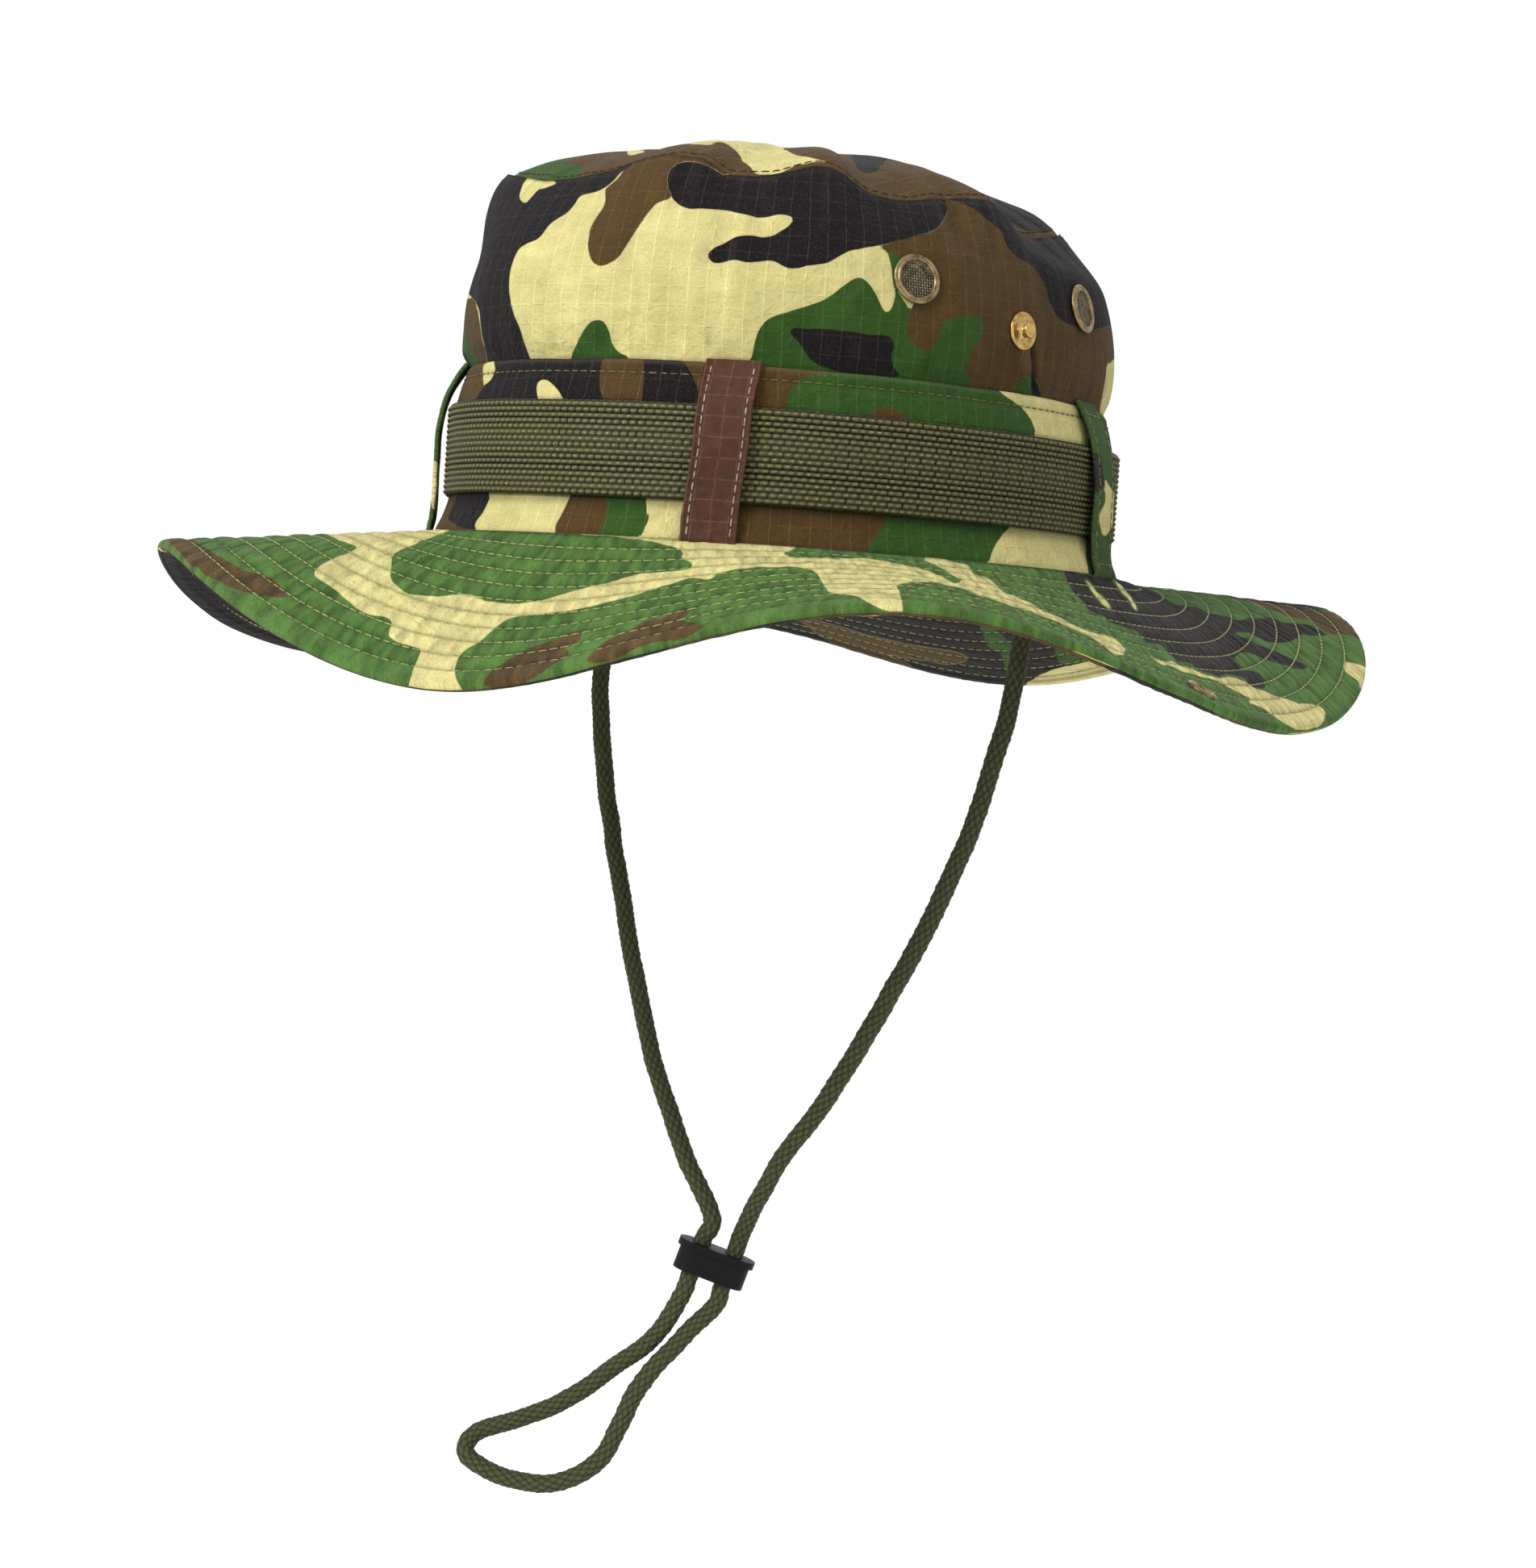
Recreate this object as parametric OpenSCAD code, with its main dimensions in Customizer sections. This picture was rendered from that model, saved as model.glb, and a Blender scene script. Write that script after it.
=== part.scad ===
// Boonie hat: soft crown, wavy stitched brim whose two sides snap up,
// webbing band with branch loops, screened vents and a chin cord with a slider.
// Origin: centre of the head opening, in the plane where brim and crown meet.
// +Z up, -Y to the front of the hat, +X to the wearer's left. Millimetres.

/* [Crown] */
// Mean semi-axis of the crown where the brim is sewn on
root_m = 101.4; // [96:0.1:104]
// Front-to-back over side-to-side ratio of the head oval
oval = 1.14; // [1.08:0.01:1.2]
// Height of the seam between side wall and tip
seam_z = 100.8; // [94:0.1:106]
// Rise of the tip above that seam
tip_rise = 17; // [8:0.5:20]
// Height of the lower crown band
band_z = 47.3; // [44:0.1:50]
// Thickness of the crown cloth
cloth = 1.1; // [0.8:0.1:1.4]

/* [Brim] */
// Width of the brim from crown to edge
brim_w = 78; // [74:0.5:80]
// Mean droop of the brim below level, degrees
droop = 18.5; // [16:0.5:20]
// Depth of the four-lobed wave, degrees
wave4 = 10; // [6:0.5:11]
// Thickness of one brim ply
ply = 0.9; // [0.7:0.1:1]
// Fold line of a snapped-up side, distance from the middle
fold_x = 98.5; // [98:0.1:99]

/* [Webbing and loops] */
// Lower edge of the webbing band
web_z = 10.8; // [9:0.1:12]
// Width of the webbing
web_w = 25.4; // [24:0.1:26]
// Width of a branch loop
loop_w = 15; // [12:0.5:16]

/* [Hardware] */
// Height of the vents above the brim
vent_z = 74.5; // [70:0.5:80]
// Outer radius of a vent eyelet
vent_r = 7; // [6:0.1:7.5]
// Height of the snap stud
stud_z = 64.7; // [60:0.1:66]

/* [Chin cord] */
// Diameter of the braided cord
cord_d = 5.6; // [5:0.1:6]
// Length of the slider across its two bores
slider_w = 22; // [21:0.5:24]

/* [Hidden] */
$fn = 48;

steps = 96;                 // stations round the crown and the brim
kx = 1 / sqrt(oval);        // side-to-side factor on a mean semi-axis
ky = sqrt(oval);            // front-to-back factor

// Station on the oval of mean semi-axis m at parameter t, and its outward direction
function on_oval(m, t) = [m * kx * cos(t), m * ky * sin(t)];
function out_az(t) = atan2(sin(t) / ky, cos(t) / kx);

// ---- crown profile: outer mean semi-axis against height ----
wall_prof = [[44.5, 93.4], [47.3, 92.7], [50, 93.9], [55, 94.9], [61, 95.3], [68, 95],
    [75, 93.8], [82, 91.6], [88, 89], [94, 85.6], [98, 83], [seam_z, 80.9]];
function wall_m(z) = lookup(z, wall_prof);
function wall_lean(z) = atan((wall_m(z - 2) - wall_m(z + 2)) / 4);
function wall_pt(t, z) = let(p = on_oval(wall_m(z), t)) [p.x, p.y, z];

// ---- brim: straight ribs whose droop waves round the hat ----
function brim_droop(t) = droop + 2.5 * cos(t + 80) + 4 * cos(2 * t + 25)
    + 2.5 * cos(3 * t - 90) + wave4 * cos(4 * t - 54) + 2 * cos(6 * t + 116);
function brim_pt(t, s, drop = 0) = let(p = on_oval(root_m, t), a = out_az(t), d = brim_droop(t))
    [p.x + s * cos(d) * cos(a), p.y + s * cos(d) * sin(a), -s * sin(d) - drop];

// Closed solid through a row of cross-sections; from point `turn` on, the quads are
// split along the other diagonal, so that facing plies share their facets
module loft(secs, closed = true, turn = 999) {
    n = len(secs);
    k = len(secs[0]);
    pts = [for (s = secs) each s];
    side = [for (i = [0 : n - (closed ? 1 : 2)], j = [0 : k - 1])
        let (a = i * k + j, b = i * k + (j + 1) % k, e = (i + 1) % n, c = e * k + (j + 1) % k, d = e * k + j)
        each (j < turn ? [[a, c, b], [a, d, c]] : [[a, d, b], [b, d, c]])];
    caps = closed ? [] : [[for (j = [0 : k - 1]) j], [for (j = [k - 1 : -1 : 0]) (n - 1) * k + j]];
    polyhedron(pts, concat(side, caps), convexity = 6);
}

// Ring of an oval profile: list of [mean semi-axis, height], counter-clockwise seen from outside
module oval_ring(prof) loft([for (i = [0 : steps - 1]) let (t = i * 360 / steps)
    [for (q = prof) let (p = on_oval(q[0], t)) [p.x, p.y, q[1]]]]);

// Brim ring from a profile of [distance from the root, depth below the top face]
module brim_ring(prof, turn) loft([for (i = [0 : steps - 1]) let (t = i * 360 / steps)
    [for (q = prof) brim_pt(t, q[0], q[1])]], turn = turn);

// ---- snaps: where the side folds and where it meets the stud ----
vent_ts = [-24.5, 15, 165, 204.5];
stud_t = -3;
socket_t = -2;
socket_s = 69.8;
fold_z = -1;
fold_gap = 0.2;
hem_s = brim_w - 3;

// Places children on the side wall, their +Z pointing out of the crown
module on_wall(t, z) {
    a = out_az(t);
    translate(wall_pt(t, z)) rotate([0, 90 - wall_lean(z), a]) children();
}
// Places children on the brim's top face, their +Z standing up from it
module on_brim(t, s) {
    p = brim_pt(t, s);
    out = unit(brim_pt(t, s + 1) - p);
    up = unit(cross(out, brim_pt(t + 1.8, s) - brim_pt(t - 1.8, s)));
    side = cross(up, out);
    multmatrix([[out.x, side.x, up.x, p.x], [out.y, side.y, up.y, p.y], [out.z, side.z, up.z, p.z], [0, 0, 0, 1]]) children();
}
// The same on both sides of the hat: left is +X, right is -X
function other_side(t) = 180 - t;

// ================= crown =================
module crown_tip() color([0.42, 0.36, 0.22]) {
    // dome panel; its rim turns down inside the top seam
    outer = [for (i = [0 : 7]) let (u = i / 7) [80.6 * cos(90 * u), seam_z + 0.4 + tip_rise * sin(90 * u)]];
    rings = [for (i = [0 : 6]) outer[i]];
    inner = [for (i = [6 : -1 : 0]) [outer[i][0] - (i == 0 ? 1.2 : 0.5), outer[i][1] - 1.2]];
    n = steps / 2;
    prof = concat(rings, [for (q = inner) q]);
    k = len(prof);
    // open at the crown's centre: closed with two centre points
    pts = concat([for (i = [0 : n - 1]) let (t = i * 360 / n) each [for (q = prof) let (p = on_oval(q[0], t)) [p.x, p.y, q[1]]]],
        [[0, 0, outer[7][1]], [0, 0, outer[7][1] - 1.2]]);
    top = n * k;
    bot = top + 1;
    outs = [for (i = [0 : n - 1], j = [0 : 5]) let (e = (i + 1) % n) each [[i * k + j, e * k + j + 1, e * k + j], [i * k + j, i * k + j + 1, e * k + j + 1]]];
    ins = [for (i = [0 : n - 1], j = [7 : 12]) let (e = (i + 1) % n) each [[i * k + j, e * k + j + 1, e * k + j], [i * k + j, i * k + j + 1, e * k + j + 1]]];
    rim = [for (i = [0 : n - 1]) let (e = (i + 1) % n) each [[i * k + 13, e * k, e * k + 13], [i * k + 13, i * k, e * k]]];
    apex = [for (i = [0 : n - 1]) let (e = (i + 1) % n) each [[i * k + 6, top, e * k + 6], [e * k + 7, bot, i * k + 7]]];
    polyhedron(pts, concat(outs, ins, rim, apex), convexity = 4);
}

module crown_wall() color([0.78, 0.72, 0.46]) difference() {
    oval_ring(concat([for (q = wall_prof) [q[1], q[0]]],
        [for (i = [len(wall_prof) - 1 : -1 : 0]) [wall_prof[i][1] - cloth, wall_prof[i][0] - (i == len(wall_prof) - 1 ? 0.3 : 0)]]));
    for (t = vent_ts) on_wall(t, vent_z) translate([0, 0, -6]) cylinder(r = 4.9, h = 12);
    for (t = [stud_t, other_side(stud_t)]) on_wall(t, stud_z) translate([0, 0, -6]) cylinder(r = 1.7, h = 12);
}

module crown_band() color([0.25, 0.42, 0.22])
    oval_ring([[root_m - 0.2, -2.6], [root_m - 0.1, 0], [99.2, 4], [97.2, 10], [97, 36], [95.4, 43], [93.96, band_z],
        [92.86, band_z], [94.2, 43], [95.8, 36], [96, 10], [98, 4], [root_m - 1.3, 0], [root_m - 1.4, -2.6]]);

module sweatband() color([0.3, 0.32, 0.2])
    oval_ring([[98.6, -2.4], [96.4, 3], [95.3, 10], [95.2, 27], [94.2, 27], [94.3, 10], [95.3, 3], [97.4, -2.4]]);

// ================= brim =================
// Cuts a brim ring at the two fold lines: side 0 middle, +1 left, -1 right
module brim_part(side) {
    if (side == 0) intersection() { children(); translate([0, 0, -50]) cube([2 * (fold_x - fold_gap), 500, 200], center = true); }
    else intersection() { children(); translate([side * (fold_x + fold_gap + 100), 0, -50]) cube([200, 500, 200], center = true); }
}
module snap_hole(side, r) if (side != 0) on_brim(side > 0 ? socket_t : other_side(socket_t), socket_s)
    translate([0, 0, -8]) cylinder(r = r, h = 16);

// The top ply runs over the edge and is turned under, as a rolled hem
module brim_top(side) difference() {
    brim_part(side) brim_ring([[0.1, 0], [26, 0], [52, 0], [hem_s, 0], [brim_w - 0.8, 0], [brim_w, 0.8], [brim_w, 2.4], [brim_w - 0.8, 3.1],
        [hem_s + 0.1, 3.1], [hem_s, ply], [52, ply], [26, ply], [0.1, ply]], 8);
    snap_hole(side, 1.8);
}
module brim_stiffener(side) difference() {
    brim_part(side) brim_ring([[0.1, ply + 0.04], [26, ply + 0.04], [52, ply + 0.04], [hem_s - 0.2, ply + 0.04],
        [hem_s - 0.2, 2 * ply], [52, 2 * ply], [26, 2 * ply], [0.1, 2 * ply]], 4);
    snap_hole(side, 1.8);
}
module brim_under(side) difference() {
    brim_part(side) brim_ring([[0.1, 2 * ply + 0.04], [26, 2 * ply + 0.04], [52, 2 * ply + 0.04], [hem_s - 0.2, 2 * ply + 0.04],
        [hem_s - 0.2, 3 * ply], [52, 3 * ply], [26, 3 * ply], [0.1, 3 * ply]], 4);
    snap_hole(side, 1.8);
}
module brim_top_center() color([0.2, 0.4, 0.2]) brim_top(0);
module brim_top_left() color([0.2, 0.4, 0.2]) brim_top(1);
module brim_top_right() color([0.2, 0.4, 0.2]) brim_top(-1);
module brim_stiffener_center() color([0.85, 0.83, 0.76]) brim_stiffener(0);
module brim_stiffener_left() color([0.85, 0.83, 0.76]) brim_stiffener(1);
module brim_stiffener_right() color([0.85, 0.83, 0.76]) brim_stiffener(-1);
module brim_under_center() color([0.3, 0.23, 0.15]) brim_under(0);
module brim_under_left() color([0.3, 0.23, 0.15]) brim_under(1);
module brim_under_right() color([0.3, 0.23, 0.15]) brim_under(-1);

// ================= webbing and loops =================
web_m = 97.4;
module webbing_band() color([0.33, 0.34, 0.24])
    oval_ring([[web_m, web_z + 0.3], [web_m + 0.3, web_z], [web_m + 1.3, web_z], [web_m + 1.6, web_z + 0.4],
        [web_m + 1.6, web_z + web_w - 0.4], [web_m + 1.3, web_z + web_w], [web_m + 0.3, web_z + web_w], [web_m, web_z + web_w - 0.3]]);

// Strap bowed over the webbing: path of [distance out from the band, height]
loop_t = 0.65;
module branch_loop(t, bow) {
    p = on_oval(97.2, t);
    a = out_az(t);
    path = [[-2.35, 47.6], [-0.6, 44.6], [1.6 + bow * 0.5, 40], [3.1 + bow * 0.8, 35], [3.8 + bow, 28], [3.9 + bow, 20],
        [3.8 + bow * 0.9, 12], [4.2 + bow * 0.5, 5], [5.2, 0.8]];
    n = len(path);
    dir = [for (i = [0 : n - 1]) let (u = path[min(i + 1, n - 1)], v = path[max(i - 1, 0)], d = u - v) d / norm(d)];
    side1 = [for (i = [0 : n - 1]) path[i] + loop_t * [-dir[i].y, dir[i].x]];
    side2 = [for (i = [n - 1 : -1 : 0]) path[i] - loop_t * [-dir[i].y, dir[i].x]];
    translate([p.x, p.y, 0]) rotate([90, 0, a]) translate([0, 0, -loop_w / 2])
        linear_extrude(height = loop_w) polygon(concat(side1, side2));
}
module loop_front_left() color([0.42, 0.22, 0.16]) branch_loop(-54, 0);
module loop_front_right() color([0.2, 0.4, 0.2]) branch_loop(-130, 0.3);
module loop_side_left() color([0.25, 0.3, 0.2]) branch_loop(20, 0.3);
module loop_side_right() color([0.25, 0.3, 0.2]) branch_loop(160, 0.3);
module loop_back() color([0.78, 0.72, 0.46]) branch_loop(90, 0);

// ================= vents =================
module at_vents() for (t = vent_ts) on_wall(t, vent_z) children();
// Rolled flange outside and barrel through the wall
module vent_eyelets() color([0.55, 0.42, 0.2]) at_vents()
    rotate_extrude() polygon([[4.1, -2.7], [4.8, -2.7], [4.8, 0.35], [vent_r, 0.35], [vent_r, 0.8], [vent_r - 0.7, 1.5], [5.4, 1.8], [4.6, 1.5], [4.1, 0.8]]);
module vent_screens() color([0.3, 0.26, 0.2]) at_vents()
    translate([0, 0, -0.3]) cylinder(r = 4.1, h = 0.4);
module vent_washers() color([0.5, 0.4, 0.2]) at_vents()
    rotate_extrude() polygon([[4.85, -2.6], [6.8, -2.4], [6.8, -2.05], [4.85, -1.8]]);

// ================= snaps =================
module at_studs() for (t = [stud_t, other_side(stud_t)]) on_wall(t, stud_z) children();
module snap_studs() color([0.6, 0.46, 0.22]) at_studs() {
    rotate_extrude() polygon([[0, 0.1], [5.3, 0.1], [5.3, 0.5], [4.6, 0.95], [2.4, 1.05], [1.6, 1.4], [1.7, 2], [2.1, 2.5], [2, 3.1], [1.3, 3.4], [0, 3.4]]);
}
// Rivet post from inside the crown
module snap_stud_backs() color([0.55, 0.42, 0.2]) at_studs()
    rotate_extrude() polygon([[0, 0.1], [1.4, 0.1], [1.4, -1.35], [5, -1.5], [4.6, -2.2], [0, -2.4]]);
// Ring on the brim that clips over the stud, and its cap below
module snap_socket() rotate_extrude() polygon([[2.6, 0.3], [4.4, 0.3], [4.4, 0.8], [3.9, 1.25], [3, 1.35], [2.6, 1.05]]);
module snap_cap() rotate_extrude() polygon([[0, -3.75], [3.8, -3.65], [4.7, -3.1], [4.7, -2.95], [1.4, -2.95], [1.4, -0.2], [0, -0.2]]);
module snap_socket_left() color([0.6, 0.46, 0.22]) on_brim(socket_t, socket_s) snap_socket();
module snap_socket_right() color([0.6, 0.46, 0.22]) on_brim(other_side(socket_t), socket_s) snap_socket();
module snap_cap_left() color([0.55, 0.42, 0.2]) on_brim(socket_t, socket_s) snap_cap();
module snap_cap_right() color([0.55, 0.42, 0.2]) on_brim(other_side(socket_t), socket_s) snap_cap();

// ================= chin cord =================
// Stitched tab that holds a cord end against the sweatband
anchor_x = 83;
anchor_y = 13;
anchor_z = -6;
module cord_anchor(side) translate([side * anchor_x, anchor_y, anchor_z])
    translate([-3.1, -8, 0]) cube([6.2, 16, 15]);
module cord_anchor_left() color([0.35, 0.36, 0.24]) cord_anchor(1);
module cord_anchor_right() color([0.35, 0.36, 0.24]) cord_anchor(-1);

// Slider: frame of its centre, long axis and bore axis
slider_c = [-13, 5, -213];
slider_az = 42;
slider_tilt = 17;
bore_gap = 5.2;
bore_r = cord_d / 2 + 0.2;
function slider_at(u, w, b = 0) = slider_c
    + u * [cos(slider_az) * cos(slider_tilt), sin(slider_az) * cos(slider_tilt), -sin(slider_tilt)]
    + b * [cos(slider_az) * sin(slider_tilt), sin(slider_az) * sin(slider_tilt), cos(slider_tilt)]
    + w * [-sin(slider_az), cos(slider_az), 0];

// Route of the cord: left end, left bore, loop below, right bore, right end
route_left = [[83, 13, -6], [82.6, 13, -14], [79, 13, -40], [72, 13, -66], [61, 13, -92], [48, 12, -118],
    [34, 11, -142], [19, 10, -164], [6, 9, -182]];
route_right = [[-83, 13, -6], [-83.8, 13, -14], [-84, 13, -40], [-80, 13, -68], [-71, 12, -96], [-61, 10, -122],
    [-50, 8, -146], [-36, 5, -168], [-24, 3, -184]];
route_loop = [[-26, -3, -236], [-37, -10, -247], [-46, -17, -257], [-58, -26, -265], [-69, -34, -271],
    [-69, -38, -278], [-56, -32, -283], [-43, -25, -282], [-34, -17, -275], [-31, -12, -264], [-28, -8, -252], [-20, -1, -238]];

// Points of a smooth curve through the route
function spline(p, i, u) = let (n = len(p), a = p[max(i - 1, 0)], b = p[i], c = p[min(i + 1, n - 1)], d = p[min(i + 2, n - 1)])
    0.5 * ((2 * b) + (c - a) * u + (2 * a - 5 * b + 4 * c - d) * u * u + (3 * b - a - 3 * c + d) * u * u * u);
function smooth(p, k) = concat([for (i = [0 : len(p) - 2], j = [0 : k - 1]) spline(p, i, j / k)], [p[len(p) - 1]]);
function unit(v) = v / norm(v);
// Carries a side direction along the curve without twist
function carry(p, i, s) = i >= len(p) ? [] : let (d = unit(p[min(i + 1, len(p) - 1)] - p[max(i - 1, 0)]), q = unit(s - d * (s * d)))
    concat([q], carry(p, i + 1, q));
module tube(route, k, sides, first, last) {
    p = smooth(route, k);
    n = len(p);
    s = carry(p, 0, [0.3, 1, 0.2]);
    loft([for (i = [0 : n - 1]) let (d = i == 0 ? first : i == n - 1 ? last : unit(p[i + 1] - p[i - 1]),
            a = unit(s[i] - d * (s[i] * d)), b = cross(d, a))
        [for (j = [0 : sides - 1]) p[i] + cord_d / 2 * (a * cos(j * 360 / sides) + b * sin(j * 360 / sides))]], closed = false);
}
bore_dir = slider_at(0, 0, 1) - slider_at(0, 0, 0);
module chin_cord_left() color([0.36, 0.37, 0.25])
    tube(concat(route_left, [slider_at(bore_gap, 0, 13), slider_at(bore_gap, 0, 6.5), slider_at(bore_gap, 0, 0)]), 2, 8, [0, 0, -1], -bore_dir);
module chin_cord_right() color([0.36, 0.37, 0.25])
    tube(concat(route_right, [slider_at(-bore_gap, 0, 13), slider_at(-bore_gap, 0, 6.5), slider_at(-bore_gap, 0, 0)]), 2, 8, [0, 0, -1], -bore_dir);
module chin_cord_loop() color([0.36, 0.37, 0.25])
    tube(concat([slider_at(-bore_gap, 0, 0), slider_at(-bore_gap, 0, -6.5), slider_at(-bore_gap, 0, -12)], route_loop,
        [slider_at(bore_gap, 0, -12), slider_at(bore_gap, 0, -6.5), slider_at(bore_gap, 0, 0)]), 2, 8, -bore_dir, bore_dir);

// Flat oval body with two bores and a thin lip round its top
module cord_slider() color([0.06, 0.06, 0.06])
    translate(slider_c) rotate([0, slider_tilt, slider_az]) difference() {
        union() {
            translate([0, 0, -4.6]) linear_extrude(height = 9.2) slider_outline(slider_w, 9.4);
            translate([0, 0, 2.4]) linear_extrude(height = 2.2) slider_outline(slider_w + 2, 11);
        }
        for (s = [-1, 1]) translate([s * bore_gap, 0, -8]) cylinder(r = bore_r, h = 16);
    }
module slider_outline(l, w) union() {
    square([l - w, w], center = true);
    for (s = [-1, 1]) translate([s * (l - w) / 2, 0]) circle(d = w);
}

crown_tip();
crown_wall();
crown_band();
sweatband();
brim_top_center();
brim_top_left();
brim_top_right();
brim_stiffener_center();
brim_stiffener_left();
brim_stiffener_right();
brim_under_center();
brim_under_left();
brim_under_right();
webbing_band();
loop_front_left();
loop_front_right();
loop_side_left();
loop_side_right();
loop_back();
vent_eyelets();
vent_screens();
vent_washers();
snap_studs();
snap_stud_backs();
snap_socket_left();
snap_socket_right();
snap_cap_left();
snap_cap_right();
cord_anchor_left();
cord_anchor_right();
chin_cord_left();
chin_cord_right();
chin_cord_loop();
cord_slider();
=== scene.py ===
import math

import bpy
import numpy as np
from mathutils import Matrix, Vector


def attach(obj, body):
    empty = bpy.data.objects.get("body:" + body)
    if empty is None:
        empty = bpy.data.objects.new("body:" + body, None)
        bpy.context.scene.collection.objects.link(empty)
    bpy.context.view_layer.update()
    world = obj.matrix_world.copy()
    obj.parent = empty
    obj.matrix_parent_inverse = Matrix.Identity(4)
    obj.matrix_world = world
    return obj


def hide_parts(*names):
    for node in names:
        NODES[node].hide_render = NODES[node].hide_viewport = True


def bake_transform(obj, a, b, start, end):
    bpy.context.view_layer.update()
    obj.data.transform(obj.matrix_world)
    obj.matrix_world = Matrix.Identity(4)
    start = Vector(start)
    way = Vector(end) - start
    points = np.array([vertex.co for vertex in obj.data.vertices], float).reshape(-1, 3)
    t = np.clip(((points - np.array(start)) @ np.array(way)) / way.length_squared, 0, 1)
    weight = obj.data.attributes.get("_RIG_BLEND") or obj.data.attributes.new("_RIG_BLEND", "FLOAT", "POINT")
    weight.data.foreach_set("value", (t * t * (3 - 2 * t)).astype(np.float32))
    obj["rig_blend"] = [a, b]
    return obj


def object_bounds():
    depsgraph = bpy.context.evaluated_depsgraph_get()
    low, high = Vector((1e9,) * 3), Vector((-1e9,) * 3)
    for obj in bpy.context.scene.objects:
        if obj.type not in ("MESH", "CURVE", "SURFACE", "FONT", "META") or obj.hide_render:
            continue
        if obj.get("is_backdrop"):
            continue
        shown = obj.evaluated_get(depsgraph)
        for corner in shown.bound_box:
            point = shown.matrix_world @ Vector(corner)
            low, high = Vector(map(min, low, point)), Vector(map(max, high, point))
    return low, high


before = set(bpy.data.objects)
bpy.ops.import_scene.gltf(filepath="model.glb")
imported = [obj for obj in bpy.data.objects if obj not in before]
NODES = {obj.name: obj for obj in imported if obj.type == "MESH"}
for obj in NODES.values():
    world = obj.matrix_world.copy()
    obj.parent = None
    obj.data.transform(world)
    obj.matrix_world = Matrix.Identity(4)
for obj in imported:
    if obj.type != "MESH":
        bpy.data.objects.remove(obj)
cad_box = [[float(c) for c in corner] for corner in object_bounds()]
pi = math.pi
rad = math.radians

# ------------------------------------------------------------------ camera
AZ, ZC, DIST, PITCH, PAN, ROLL, FOCAL = rad(42.0), -0.02976, 1.0, rad(2.14), rad(-0.05), rad(3.77), 4187.2
back0 = np.array([math.sin(AZ), -math.cos(AZ), 0.0])
cam_at = back0 * DIST + np.array([0, 0, ZC])
bk = np.array([math.sin(AZ + PAN) * math.cos(PITCH), -math.cos(AZ + PAN) * math.cos(PITCH), math.sin(PITCH)])
right0 = np.cross(-bk, [0, 0, 1.0])
right0 /= np.linalg.norm(right0)
up0 = np.cross(right0, -bk)
right = math.cos(ROLL) * right0 + math.sin(ROLL) * up0
up = -math.sin(ROLL) * right0 + math.cos(ROLL) * up0
cam_data = bpy.data.cameras.new("camera")
cam = bpy.data.objects.new("camera", cam_data)
bpy.context.scene.collection.objects.link(cam)
cam.matrix_world = Matrix([[right[0], up[0], bk[0], cam_at[0]], [right[1], up[1], bk[1], cam_at[1]],
                           [right[2], up[2], bk[2], cam_at[2]], [0, 0, 0, 1]])
cam_data.sensor_width = 36.0
cam_data.lens = 36.0 * FOCAL / 1944.0
cam_data.clip_start, cam_data.clip_end = 0.05, 50.0
bpy.context.scene.camera = cam

# ------------------------------------------------------------------ the hat's shape, as in its model (mm)
OVAL = 1.14
KX, KY = 1 / math.sqrt(OVAL), math.sqrt(OVAL)
ROOT_M, BRIM_W, SEAM_Z, TIP_RISE, BAND_Z = 101.4, 78.0, 100.8, 12.5, 47.3
WALL = np.array([[44.5, 93.4], [47.3, 92.7], [50, 93.9], [55, 94.9], [61, 95.3], [68, 95], [75, 93.8], [82, 91.6],
                 [88, 89], [94, 85.6], [98, 83], [SEAM_Z, 80.9]])
BAND = np.array([[0.0, 101.3], [4, 99.2], [10, 97.2], [36, 97.0], [43, 95.4], [BAND_Z, 93.96]])


def smooth(x):
    x = np.clip(x, 0, 1)
    return x * x * (3 - 2 * x)


def ramp(x, a, b):
    return smooth((np.asarray(x, float) - a) / (b - a))


def wall_m(z):
    """Crown side wall: mean semi-axis at a height, through its stations, rounded off between them."""
    z = np.asarray(z, float)
    w = [(-2.4, 0.2), (-1.2, 0.2), (0, 0.2), (1.2, 0.2), (2.4, 0.2)]
    return sum(k * np.interp(z + d, WALL[:, 0], WALL[:, 1]) for d, k in w)


def band_m(z):
    z = np.asarray(z, float)
    w = [(-2, 0.25), (0, 0.5), (2, 0.25)]
    return sum(k * np.interp(z + d, BAND[:, 0], BAND[:, 1]) for d, k in w)


def out_az(t):
    return np.arctan2(np.sin(t) / KY, np.cos(t) / KX)


def oval(m, t):
    return m * KX * np.cos(t), m * KY * np.sin(t)


def droop(t):
    d = np.degrees(t)
    c = lambda x: np.cos(np.radians(x))
    return np.radians(18.5 + 2.5 * c(d + 80) + 4 * c(2 * d + 25) + 2.5 * c(3 * d - 90) + 10 * c(4 * d - 54) + 2 * c(6 * d + 116))


def brim_point(t, s):
    """Top face of the brim, (t radians, s mm from the crown) -> N x 3 mm."""
    x, y = oval(ROOT_M, t)
    a, d = out_az(t), droop(t)
    return np.stack([x + s * np.cos(d) * np.cos(a), y + s * np.cos(d) * np.sin(a), -s * np.sin(d)], -1)


def normalise(v):
    return v / np.maximum(np.linalg.norm(v, axis=-1, keepdims=True), 1e-12)


def brim_normal(t, s):
    e = 0.01
    du = brim_point(t + e, s) - brim_point(t - e, s)
    dv = brim_point(t, s + 0.5) - brim_point(t, s - 0.5)
    n = normalise(np.cross(du, dv))
    return np.where(n[..., 2:] < 0, -n, n)


# arc length round the oval, for cloth coordinates
_tt = np.linspace(-2 * pi, 2 * pi, 4001)


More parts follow.
